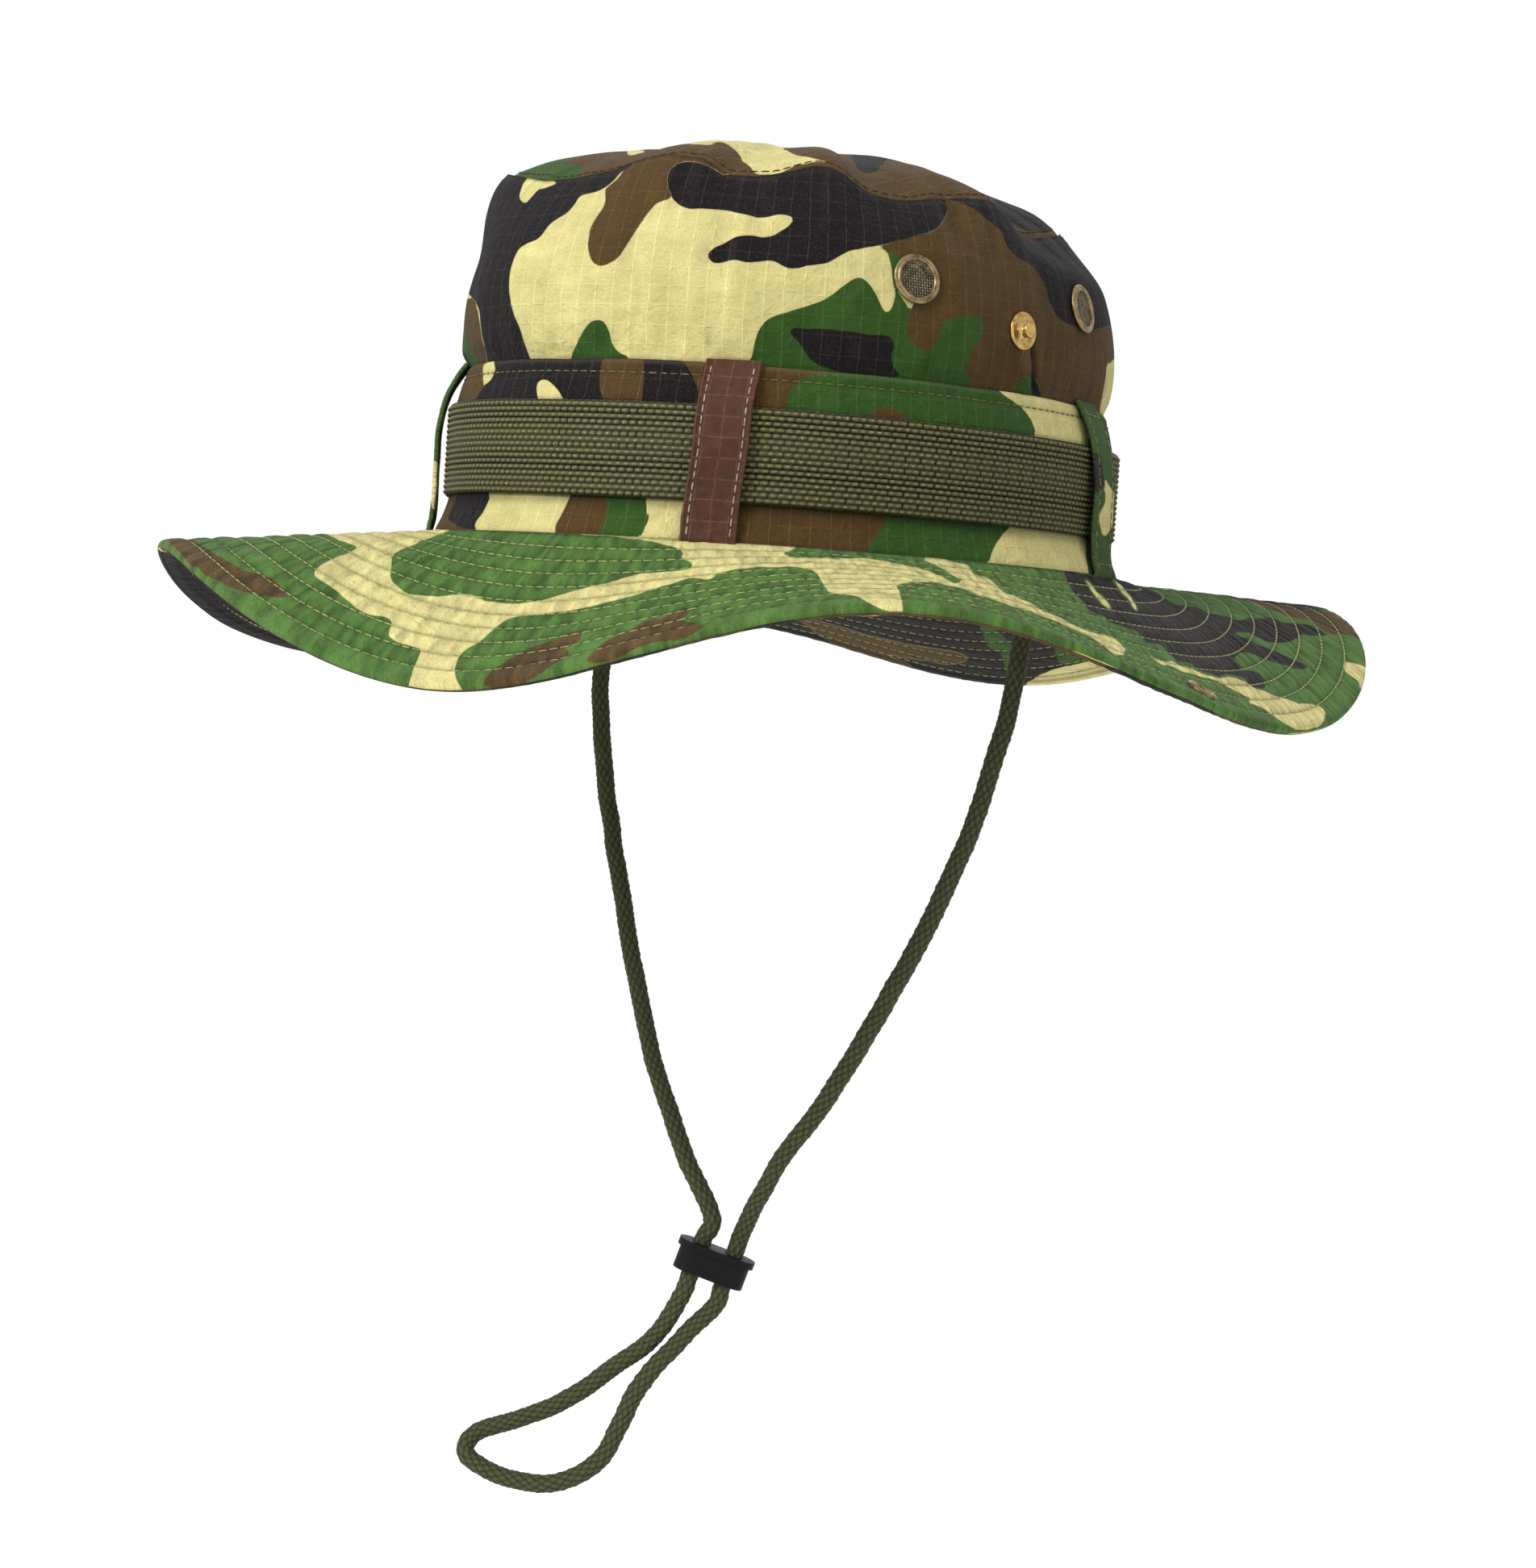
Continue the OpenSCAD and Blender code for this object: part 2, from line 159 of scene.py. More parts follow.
def arc_table(m):
    x, y = oval(m, _tt)
    s = np.concatenate([[0], np.cumsum(np.hypot(np.diff(x), np.diff(y)))])
    return s - np.interp(0, _tt, s)


ARC = arc_table(98.0)


def arc(t):
    return np.interp(t, _tt, ARC)


# ------------------------------------------------------------------ seeded noise
def vnoise(p, seed):
    p = np.asarray(p, float)
    i = np.floor(p).astype(np.int64)
    f = p - i
    u = f * f * f * (f * (f * 6 - 15) + 10)

    def h(o):
        k = (i[..., 0] + o[0]) * 73856093 ^ (i[..., 1] + o[1]) * 19349663 ^ (i[..., 2] + o[2]) * 83492791 ^ (seed * 2654435761)
        k = (k & 0x7FFFFFFF) * 1103515245 + 12345
        k = k & 0x7FFFFFFF
        k = (k ^ (k >> 13)) * 1274126177
        k = (k ^ (k >> 16)) & 0x7FFFFFFF
        return k / float(0x7FFFFFFF) * 2 - 1

    out = 0
    for a in (0, 1):
        for b in (0, 1):
            for c in (0, 1):
                w = (u[..., 0] if a else 1 - u[..., 0]) * (u[..., 1] if b else 1 - u[..., 1]) * (u[..., 2] if c else 1 - u[..., 2])
                out = out + w * h((a, b, c))
    return out


def fbm(p, seed, octaves=3, gain=0.5):
    p = np.asarray(p, float)
    out, amp, tot = 0, 1.0, 0
    for k in range(octaves):
        out = out + amp * vnoise(p * 2 ** k + 17.3 * k, seed + 101 * k)
        tot += amp
        amp *= gain
    return out / tot


def noise1(x, seed, octaves=2):
    x = np.asarray(x, float)
    return fbm(np.stack([x, x * 0 + 0.37, x * 0 + 0.71], -1), seed, octaves)


# ------------------------------------------------------------------ node materials
def material(name):
    m = bpy.data.materials.new(name)
    m.use_nodes = True
    nt = m.node_tree
    nt.nodes.clear()
    out = nt.nodes.new("ShaderNodeOutputMaterial")
    b = nt.nodes.new("ShaderNodeBsdfPrincipled")
    nt.links.new(b.outputs[0], out.inputs[0])
    return m, nt, b


class G:
    """Short forms for building a node graph."""

    def __init__(self, nt):
        self.nt = nt

    def node(self, kind, **props):
        n = self.nt.nodes.new(kind)
        for k, v in props.items():
            setattr(n, k, v)
        return n

    def put(self, sock, v):
        if isinstance(v, (int, float)):
            sock.default_value = v
        elif isinstance(v, (tuple, list)):
            sock.default_value = tuple(v)
        else:
            self.nt.links.new(v, sock)

    def math(self, op, a, b=None, c=None, clamp=False):
        n = self.node("ShaderNodeMath", operation=op)
        n.use_clamp = clamp
        self.put(n.inputs[0], a)
        if b is not None:
            self.put(n.inputs[1], b)
        if c is not None:
            self.put(n.inputs[2], c)
        return n.outputs[0]

    def mix(self, f, a, b, blend="MIX"):
        n = self.node("ShaderNodeMix", data_type="RGBA", blend_type=blend)
        self.put(n.inputs[0], f)
        self.put(n.inputs[6], a)
        self.put(n.inputs[7], b)
        return n.outputs[2]

    def attr(self, name, fac=True):
        n = self.node("ShaderNodeAttribute", attribute_name=name)
        return n.outputs["Fac"] if fac else n.outputs["Vector"]

    def xyz(self, v):
        n = self.node("ShaderNodeSeparateXYZ")
        self.put(n.inputs[0], v)
        return n.outputs

    def vec(self, x, y, z=0.0):
        n = self.node("ShaderNodeCombineXYZ")
        for s, v in zip(n.inputs, (x, y, z)):
            self.put(s, v)
        return n.outputs[0]

    def scale(self, v, s):
        n = self.node("ShaderNodeVectorMath", operation="MULTIPLY")
        self.put(n.inputs[0], v)
        self.put(n.inputs[1], s)
        return n.outputs[0]

    def noise(self, v, scale, detail=2.0, rough=0.5, dist=0.0):
        n = self.node("ShaderNodeTexNoise")
        self.put(n.inputs["Vector"], v)
        n.inputs["Scale"].default_value = scale
        n.inputs["Detail"].default_value = detail
        n.inputs["Roughness"].default_value = rough
        n.inputs["Distortion"].default_value = dist
        return n.outputs["Fac"]

    def range(self, v, a, b, c=0.0, d=1.0, smoothstep=True):
        n = self.node("ShaderNodeMapRange")
        n.interpolation_type = "SMOOTHSTEP" if smoothstep else "LINEAR"
        self.put(n.inputs[0], v)
        for k, x in zip((1, 2, 3, 4), (a, b, c, d)):
            n.inputs[k].default_value = x
        return n.outputs[0]

    def bump(self, height, strength, distance, normal=None):
        n = self.node("ShaderNodeBump")
        n.inputs["Strength"].default_value = strength
        n.inputs["Distance"].default_value = distance
        self.put(n.inputs["Height"], height)
        if normal is not None:
            self.put(n.inputs["Normal"], normal)
        return n.outputs[0]


def lin(h):
    """#rrggbb -> linear rgba"""
    c = [int(h[i:i + 2], 16) / 255 for i in (1, 3, 5)]
    return tuple((x / 12.92 if x <= 0.04045 else ((x + 0.055) / 1.055) ** 2.4) for x in c) + (1.0,)


TAN, GREEN, BROWN, BLACK = lin("#b3aa72"), lin("#284417"), lin("#433117"), lin("#130f12")


def cloth_weave(g, uv, pitch=0.62):
    """Plain weave height (0..1) in cloth millimetres."""
    x, y, _ = g.xyz(uv)
    a = g.math("SINE", g.math("MULTIPLY", x, 2 * pi / pitch))
    b = g.math("SINE", g.math("MULTIPLY", y, 2 * pi / pitch))
    return g.math("MULTIPLY_ADD", g.math("MULTIPLY", a, b), 0.5, 0.5)


def ripstop(g, uv, cell=5.4, width=0.34):
    """1 on the ripstop's thicker threads."""
    x, y, _ = g.xyz(uv)
    out = None
    for c in (x, y):
        d = g.math("ABSOLUTE", g.math("SUBTRACT", g.math("FRACT", g.math("DIVIDE", c, cell)), 0.5))
        line = g.range(d, 0.5 - width / cell, 0.5 - width * 0.35 / cell)
        out = line if out is None else g.math("MAXIMUM", out, line)
    return out


def grey(g, v):
    return g.vec(v, v, v)


def camo_material(name):
    m, nt, b = material(name)
    g = G(nt)
    uv = g.attr("cloth", False)
    ribs = g.attr("ribs")
    edge = g.math("MINIMUM", g.math("ABSOLUTE", g.attr("f_brown")), g.math("ABSOLUTE", g.attr("f_black")))
    near = g.range(edge, 0.25, 0.7, 0.55, 0.0)
    w = g.range(g.math("ADD", g.attr("f_green"), near), -0.18, 0.18)
    # the brim's top face (ribs = 1) gets a lighter green: a painted highlight for the light from above
    col = g.mix(w, TAN, g.mix(ribs, GREEN, (0.044, 0.104, 0.018, 1)))
    col = g.mix(g.range(g.attr("f_brown"), -0.18, 0.18), col, BROWN)
    col = g.mix(g.range(g.attr("f_black"), -0.18, 0.18), col, BLACK)
    # uneven dye, broad and fine, as factors on the colour
    mott = g.noise(uv, 0.12, 4.0, 0.6)
    col = g.mix(1.0, col, grey(g, g.range(mott, 0.3, 0.7, 0.86, 1.12, False)), "MULTIPLY")
    fine = g.noise(uv, 1.9, 2.0, 0.65)
    # the weave pattern darkens the colour where its threads dip: painted shade between the threads, together with the
    # fine uneven dye
    weave = cloth_weave(g, uv)
    col = g.mix(1.0, col, grey(g, g.range(g.math("ADD", g.math("MULTIPLY", weave, 0.45), g.math("MULTIPLY", fine, 1.1)), 0.35, 1.15, 0.72, 1.24, False)), "MULTIPLY")
    # light fibres that stand out of the print
    fib = g.noise(g.scale(uv, (3.4, 1.1, 1.0)), 1.0, 2.0, 0.7)
    light = g.mix(1.0, g.mix(1.0, col, (1.15, 1.15, 1.15, 1), "MULTIPLY"), (0.040, 0.037, 0.027, 1), "ADD")
    col = g.mix(g.range(fib, 0.56, 0.70, 0.0, 0.42), col, light)
    speck = g.noise(uv, 2.6, 1.0, 0.5)
    col = g.mix(g.range(speck, 0.66, 0.72, 0.0, 0.5), col, g.mix(1.0, light, (0.05, 0.045, 0.03, 1), "ADD"))
    # puckers the rows of stitches draw into the brim, between one row and the next: painted shade and highlight in the
    # colour of the brim's top face, and a bump
    ux, uy, _ = g.xyz(uv)
    rowc = g.math("DIVIDE", uy, 7.1)
    kf = g.math("FLOOR", rowc)
    ff = g.math("SUBTRACT", rowc, kf)
    pv = g.vec(g.math("DIVIDE", g.math("ADD", ux, g.math("MULTIPLY", ff, 3.4)), 2.5), g.math("ADD", g.math("MULTIPLY", kf, 3.7), g.math("MULTIPLY", ff, 0.5)), 0.0)
    puck = g.noise(pv, 1.0, 1.0, 0.5)
    pk = g.mix(w, grey(g, g.range(puck, 0.34, 0.66, 0.80, 1.16, False)), grey(g, g.range(puck, 0.36, 0.64, 0.58, 1.30, False)))
    col = g.mix(ribs, col, g.mix(1.0, col, pk, "MULTIPLY"))
    # ripstop threads, clearer up and down than across
    x, y, _ = g.xyz(uv)
    wob = g.math("MULTIPLY", g.math("SUBTRACT", g.noise(uv, 0.05, 2.0), 0.5), 2.2)
    for c, cell, k in ((x, 5.5, 0.42), (y, 5.3, 0.20)):
        d = g.math("ABSOLUTE", g.math("SUBTRACT", g.math("FRACT", g.math("DIVIDE", g.math("ADD", c, wob), cell)), 0.5))
        line = g.range(d, 0.5 - 0.26 / cell, 0.5 - 0.06 / cell)
        line = g.math("MULTIPLY", line, g.range(g.noise(uv, 0.5, 2.0, 0.6), 0.3, 0.6, 0.25, 1.0))
        line = g.math("MULTIPLY", line, g.range(ribs, 0.0, 1.0, 1.0, 0.25))
        col = g.mix(g.math("MULTIPLY", line, k), col, g.mix(1.0, g.mix(1.0, col, (1.6, 1.6, 1.6, 1), "MULTIPLY"), (0.042, 0.040, 0.028, 1), "ADD"))
        rip = line if cell == 5.5 else g.math("MAXIMUM", rip, line)
    # wear_and_highlight lightens the cloth towards the fibre colour: real wear on folded edges and seams, and a painted
    # highlight on the loops' lit faces and the brim's raised rows
    wear_and_highlight = g.attr("wear_and_highlight")
    worn = g.math("MULTIPLY", wear_and_highlight, g.range(fine, 0.30, 0.62, 0.35, 1.0))
    col = g.mix(g.math("MULTIPLY", worn, 0.85, clamp=True), col, light)
    shade = g.attr("shade")
    col = g.mix(1.0, col, grey(g, g.range(shade, 0.0, 1.0, 1.0, 0.22, False)), "MULTIPLY")
    g.put(b.inputs["Base Color"], col)
    g.put(b.inputs["Roughness"], g.range(fine, 0.2, 0.8, 0.88, 0.97, False))
    b.inputs["Sheen Weight"].default_value = 0.03
    b.inputs["Sheen Roughness"].default_value = 0.5
    b.inputs["Specular IOR Level"].default_value = 0.10
    hgt = g.math("ADD", g.math("MULTIPLY", weave, 0.6), g.math("MULTIPLY", rip, 0.8))
    hgt = g.math("ADD", hgt, g.math("MULTIPLY", fine, 0.9))
    n1 = g.bump(g.noise(uv, 0.30, 4.0, 0.6), 0.6, 0.0024)
    n2 = g.bump(g.math("MULTIPLY", puck, ribs), 0.8, 0.0022, n1)
    g.put(b.inputs["Normal"], g.bump(hgt, 0.55, 0.0003, n2))
    return m


def thread_material(name, colour, dark="#6f5f45"):
    m, nt, b = material(name)
    g = G(nt)
    tc = g.node("ShaderNodeTexCoord").outputs["Object"]
    n = g.noise(tc, 900.0, 2.0, 0.6)
    g.put(b.inputs["Base Color"], g.mix(g.range(n, 0.3, 0.7), lin(dark), colour))
    b.inputs["Roughness"].default_value = 0.75
    b.inputs["Specular IOR Level"].default_value = 0.2
    g.put(b.inputs["Normal"], g.bump(n, 0.4, 0.0002))
    return m


# dark is the painted shade in the weave's hollows, light the painted highlight on its floats
def webbing_material(name, base="#545332", light="#b8b283", dark="#040402"):
    m, nt, b = material(name)
    g = G(nt)
    uv = g.attr("cloth", False)
    hi = g.attr("relief")
    fine = g.noise(g.scale(uv, (2.2, 3.2, 1.0)), 1.0, 3.0, 0.7)
    # darker in the hollows of the weave, lighter on the tops of the floats: painted shade and painted highlight that
    # follow the relief
    col = g.mix(g.range(hi, 0.34, 0.86), lin(dark), lin(base))
    col = g.mix(g.range(g.math("MULTIPLY", g.math("ADD", hi, 0.05), fine), 0.47, 0.66, 0.0, 0.9), col, lin(light))
    col = g.mix(g.math("MULTIPLY", g.attr("shade"), 0.75, clamp=True), col, (0.004, 0.004, 0.003, 1))
    g.put(b.inputs["Base Color"], col)
    g.put(b.inputs["Roughness"], g.range(fine, 0.2, 0.8, 0.55, 0.8, False))
    b.inputs["Specular IOR Level"].default_value = 0.2
    g.put(b.inputs["Normal"], g.bump(g.math("ADD", hi, g.math("MULTIPLY", fine, 0.8)), 0.55, 0.0004))
    return m


def cord_material(name):
    m, nt, b = material(name)
    g = G(nt)
    uv = g.attr("cloth", False)
    hi = g.attr("relief")
    fine = g.noise(g.scale(uv, (2.6, 2.6, 1.0)), 1.0, 3.0, 0.7)
    fuzz = g.noise(uv, 3.0, 2.0, 0.7)
    # darker between the braid's strands, lighter on their tops: painted shade and painted highlight that follow the
    # relief
    col = g.mix(g.range(hi, 0.05, 0.9), lin("#1e1f13"), lin("#414429"))
    col = g.mix(1.0, col, grey(g, g.range(fine, 0.3, 0.7, 0.70, 1.25, False)), "MULTIPLY")
    col = g.mix(g.range(fuzz, 0.52, 0.74, 0.0, 0.55), col, lin("#7d7a58"))
    b.inputs["Specular IOR Level"].default_value = 0.15
    g.put(b.inputs["Base Color"], col)
    b.inputs["Roughness"].default_value = 0.75
    b.inputs["Sheen Weight"].default_value = 0.03
    g.put(b.inputs["Normal"], g.bump(g.math("ADD", hi, g.math("MULTIPLY", fine, 0.7)), 0.5, 0.0004))
    return m


def brass_material(name, a="#a58a5c", dark="#5a4527", rough=0.34, metal=0.95):
    m, nt, b = material(name)
    g = G(nt)
    tc = g.node("ShaderNodeTexCoord").outputs["Object"]
    n = g.noise(tc, 420.0, 4.0, 0.65)
    f = g.noise(tc, 2500.0, 2.0, 0.6)
    g.put(b.inputs["Base Color"], g.mix(g.range(n, 0.25, 0.62), lin(dark), lin(a)))
    b.inputs["Metallic"].default_value = metal
    g.put(b.inputs["Roughness"], g.range(n, 0.3, 0.7, rough + 0.12, rough, False))
    g.put(b.inputs["Normal"], g.bump(f, 0.12, 0.00005))
    return m


def plastic_material(name):
    m, nt, b = material(name)
    g = G(nt)
    tc = g.node("ShaderNodeTexCoord").outputs["Object"]
    n = g.noise(tc, 700.0, 3.0, 0.6)
    s = g.noise(tc, 120.0, 4.0, 0.7)
    g.put(b.inputs["Base Color"], g.mix(g.range(s, 0.5, 0.75, 0.0, 0.5), lin("#070707"), lin("#141415")))
    g.put(b.inputs["Roughness"], g.range(s, 0.3, 0.7, 0.45, 0.6, False))
    b.inputs["Specular IOR Level"].default_value = 0.14
    g.put(b.inputs["Normal"], g.bump(n, 0.18, 0.0002))
    return m


def plain_cloth(name, a, b2, weave=0.7, rough=0.9):
    m, nt, b = material(name)
    g = G(nt)
    uv = g.attr("cloth", False)
    n = g.noise(uv, 0.5, 3.0, 0.6)
    f = g.noise(uv, 2.2, 2.0, 0.6)
    col = g.mix(g.range(n, 0.3, 0.7), lin(a), lin(b2))
    col = g.mix(g.range(f, 0.5, 0.75, 0.0, 0.3), col, g.mix(0.3, col, (0.4, 0.38, 0.3, 1)))
    g.put(b.inputs["Base Color"], col)
    b.inputs["Roughness"].default_value = rough
    b.inputs["Specular IOR Level"].default_value = 0.15
    g.put(b.inputs["Normal"], g.bump(g.math("ADD", cloth_weave(g, uv, weave), f), 0.5, 0.0003))
    return m


def tape_material(name):
    """Reddish brown ripstop tape with a slight shine."""
    m, nt, b = material(name)
    g = G(nt)
    uv = g.attr("cloth", False)
    n = g.noise(uv, 0.35, 3.0, 0.6)
    f = g.noise(uv, 2.2, 2.0, 0.6)
    col = g.mix(g.range(n, 0.3, 0.7), lin("#3a2212"), lin("#2c190d"))
    x, y, _ = g.xyz(uv)
    wob = g.math("MULTIPLY", g.math("SUBTRACT", g.noise(uv, 0.12, 2.0), 0.5), 1.2)
    for c, cell in ((x, 5.0), (y, 5.6)):
        d = g.math("ABSOLUTE", g.math("SUBTRACT", g.math("FRACT", g.math("DIVIDE", g.math("ADD", c, wob), cell)), 0.5))
        line = g.range(d, 0.5 - 0.34 / cell, 0.5 - 0.08 / cell)
        line = g.math("MULTIPLY", line, g.range(g.noise(uv, 0.7, 2.0), 0.35, 0.6, 0.2, 1.0))
        col = g.mix(g.math("MULTIPLY", line, 0.34), col, lin("#7d5644"))
    col = g.mix(g.range(f, 0.55, 0.75, 0.0, 0.35), col, lin("#6d4a3c"))
    # lighter by wear_and_highlight: the loops' worn edges, and a painted highlight on their lit faces
    col = g.mix(g.math("MULTIPLY", g.attr("wear_and_highlight"), 0.3, clamp=True), col, lin("#7a5546"))
    col = g.mix(1.0, col, grey(g, g.range(g.attr("shade"), 0.0, 1.0, 1.0, 0.3, False)), "MULTIPLY")
    g.put(b.inputs["Base Color"], col)
    g.put(b.inputs["Roughness"], g.range(n, 0.3, 0.7, 0.5, 0.7, False))
    b.inputs["Specular IOR Level"].default_value = 0.12
    n1 = g.bump(g.noise(uv, 0.25, 3.0, 0.55), 0.6, 0.002)
    g.put(b.inputs["Normal"], g.bump(g.math("ADD", cloth_weave(g, uv, 0.6), f), 0.5, 0.0003, n1))
    return m


# ------------------------------------------------------------------ meshes from arrays
def make(name, verts_mm, faces, mats, attrs=None, cloth=None, mat_index=None, smooth_faces=True, normals=None):
    me = bpy.data.meshes.new(name)
    v = np.asarray(verts_mm, float) * 0.001
    f = np.asarray(faces, np.int32)
    k = f.shape[1]
    me.vertices.add(len(v))
    me.vertices.foreach_set("co", v.astype(np.float32).ravel())
    me.loops.add(f.size)
    me.loops.foreach_set("vertex_index", f.ravel())
    me.polygons.add(len(f))
    me.polygons.foreach_set("loop_start", np.arange(0, f.size, k, dtype=np.int32))
    me.polygons.foreach_set("loop_total", np.full(len(f), k, np.int32))
    for m in (mats if isinstance(mats, (list, tuple)) else [mats]):
        me.materials.append(m)
    if mat_index is not None:
        me.polygons.foreach_set("material_index", np.asarray(mat_index, np.int32))
    me.polygons.foreach_set("use_smooth", np.full(len(f), smooth_faces, bool))
    me.update(calc_edges=True)
    for key, val in (attrs or {}).items():
        a = me.attributes.new(key, "FLOAT", "POINT")
        a.data.foreach_set("value", np.asarray(val, np.float32).ravel())
    if cloth is not None:
        a = me.attributes.new("cloth", "FLOAT_VECTOR", "POINT")
        c = np.zeros((len(v), 3), np.float32)
        c[:, :2] = cloth
        a.data.foreach_set("vector", c.ravel())
    me.validate()
    if normals is not None:
        me.normals_split_custom_set_from_vertices([tuple(n) for n in normals])
    ob = bpy.data.objects.new(name, me)
    bpy.context.scene.collection.objects.link(ob)
    return ob


def grid_faces(nu, nv, wrap_u=False, wrap_v=False, flip=False):
    """Quads over an nu x nv lattice stored u-major."""
    iu = np.arange(nu if wrap_u else nu - 1)
    iv = np.arange(nv if wrap_v else nv - 1)
    a, b = np.meshgrid(iu, iv, indexing="ij")
    a2, b2 = (a + 1) % nu, (b + 1) % nv
    q = np.stack([a * nv + b, a2 * nv + b, a2 * nv + b2, a * nv + b2], -1).reshape(-1, 4)
    return q[:, ::-1] if flip else q


def stitch_mesh(points, dirs, normals_, length, width, height, sides=5):
    """Small raised threads: one capsule per point."""
    n = len(points)
    prof = np.array([[-0.5, 0.25], [-0.36, 0.85], [0, 1.0], [0.36, 0.85], [0.5, 0.25]])
    ang = np.linspace(0, 2 * pi, sides, endpoint=False) + pi / 2
    side = normalise(np.cross(normals_, dirs))
    P = []
    for u, w in prof:
        for a in ang:
            P.append(points + dirs * (u * length) + side * (math.cos(a) * w * width / 2)
                     + normals_ * (math.sin(a) * w * height / 2 - 0.16 * (abs(u) * 2) ** 2 * height))
    P = np.stack(P, 1)  # n, rings*sides, 3
    k = len(prof)
    base = []
    for r in range(k - 1):
        for a in range(sides):
            base.append([r * sides + a, r * sides + (a + 1) % sides, (r + 1) * sides + (a + 1) % sides, (r + 1) * sides + a])
    base = np.array(base)
    F = (base[None] + (np.arange(n) * k * sides)[:, None, None]).reshape(-1, 4)
    return P.reshape(-1, 3), F


# ------------------------------------------------------------------ print pattern
# The print is laid out as flat shapes in the plane of the main view (its units are 1/1904 of the view's width).
def to_view(p):
    d = np.asarray(p, float) * 0.001 - cam_at
    z = -(d @ bk)
    return np.stack([952 + FOCAL * (d @ right) / z, 972 - FOCAL * (d @ up) / z], -1)


def rounded(pts, k=4):
    p = np.array(pts, float)
    n = len(p)
    out = []
    for i in range(n):
        a, b, c, d = p[i - 1], p[i], p[(i + 1) % n], p[(i + 2) % n]
        for j in range(k):
            u = j / k
            out.append(0.5 * ((2 * b) + (c - a) * u + (2 * a - 5 * b + 4 * c - d) * u * u + (3 * b - a - 3 * c + d) * u ** 3))
    return np.array(out)


def inside_by(uv, pts):
    """Signed distance to the rounded outline, positive inside."""
    q = rounded(pts)
    lo, hi = q.min(0) - 30, q.max(0) + 30
    out = np.full(len(uv), -30.0)
    near = np.where(((uv > lo) & (uv < hi)).all(1))[0]
    for part in np.array_split(near, max(1, len(near) // 4000)):
        if not len(part):
            continue
        p = uv[part]
        a, b = q, np.roll(q, -1, 0)
        ab = b - a
        t = np.clip(((p[:, None] - a) * ab).sum(-1) / np.maximum((ab * ab).sum(-1), 1e-9), 0, 1)
        d = np.sqrt((((a + ab * t[..., None]) - p[:, None]) ** 2).sum(-1)).min(1)
        y, x = p[:, 1][:, None], p[:, 0][:, None]
        cross = ((a[:, 1] > y) != (b[:, 1] > y)) & (x < (b[:, 0] - a[:, 0]) * (y - a[:, 1]) / (b[:, 1] - a[:, 1] + 1e-12) + a[:, 0])
        ins = cross.sum(1) % 2 == 1
        out[part] = np.where(ins, d, -d)
    return out


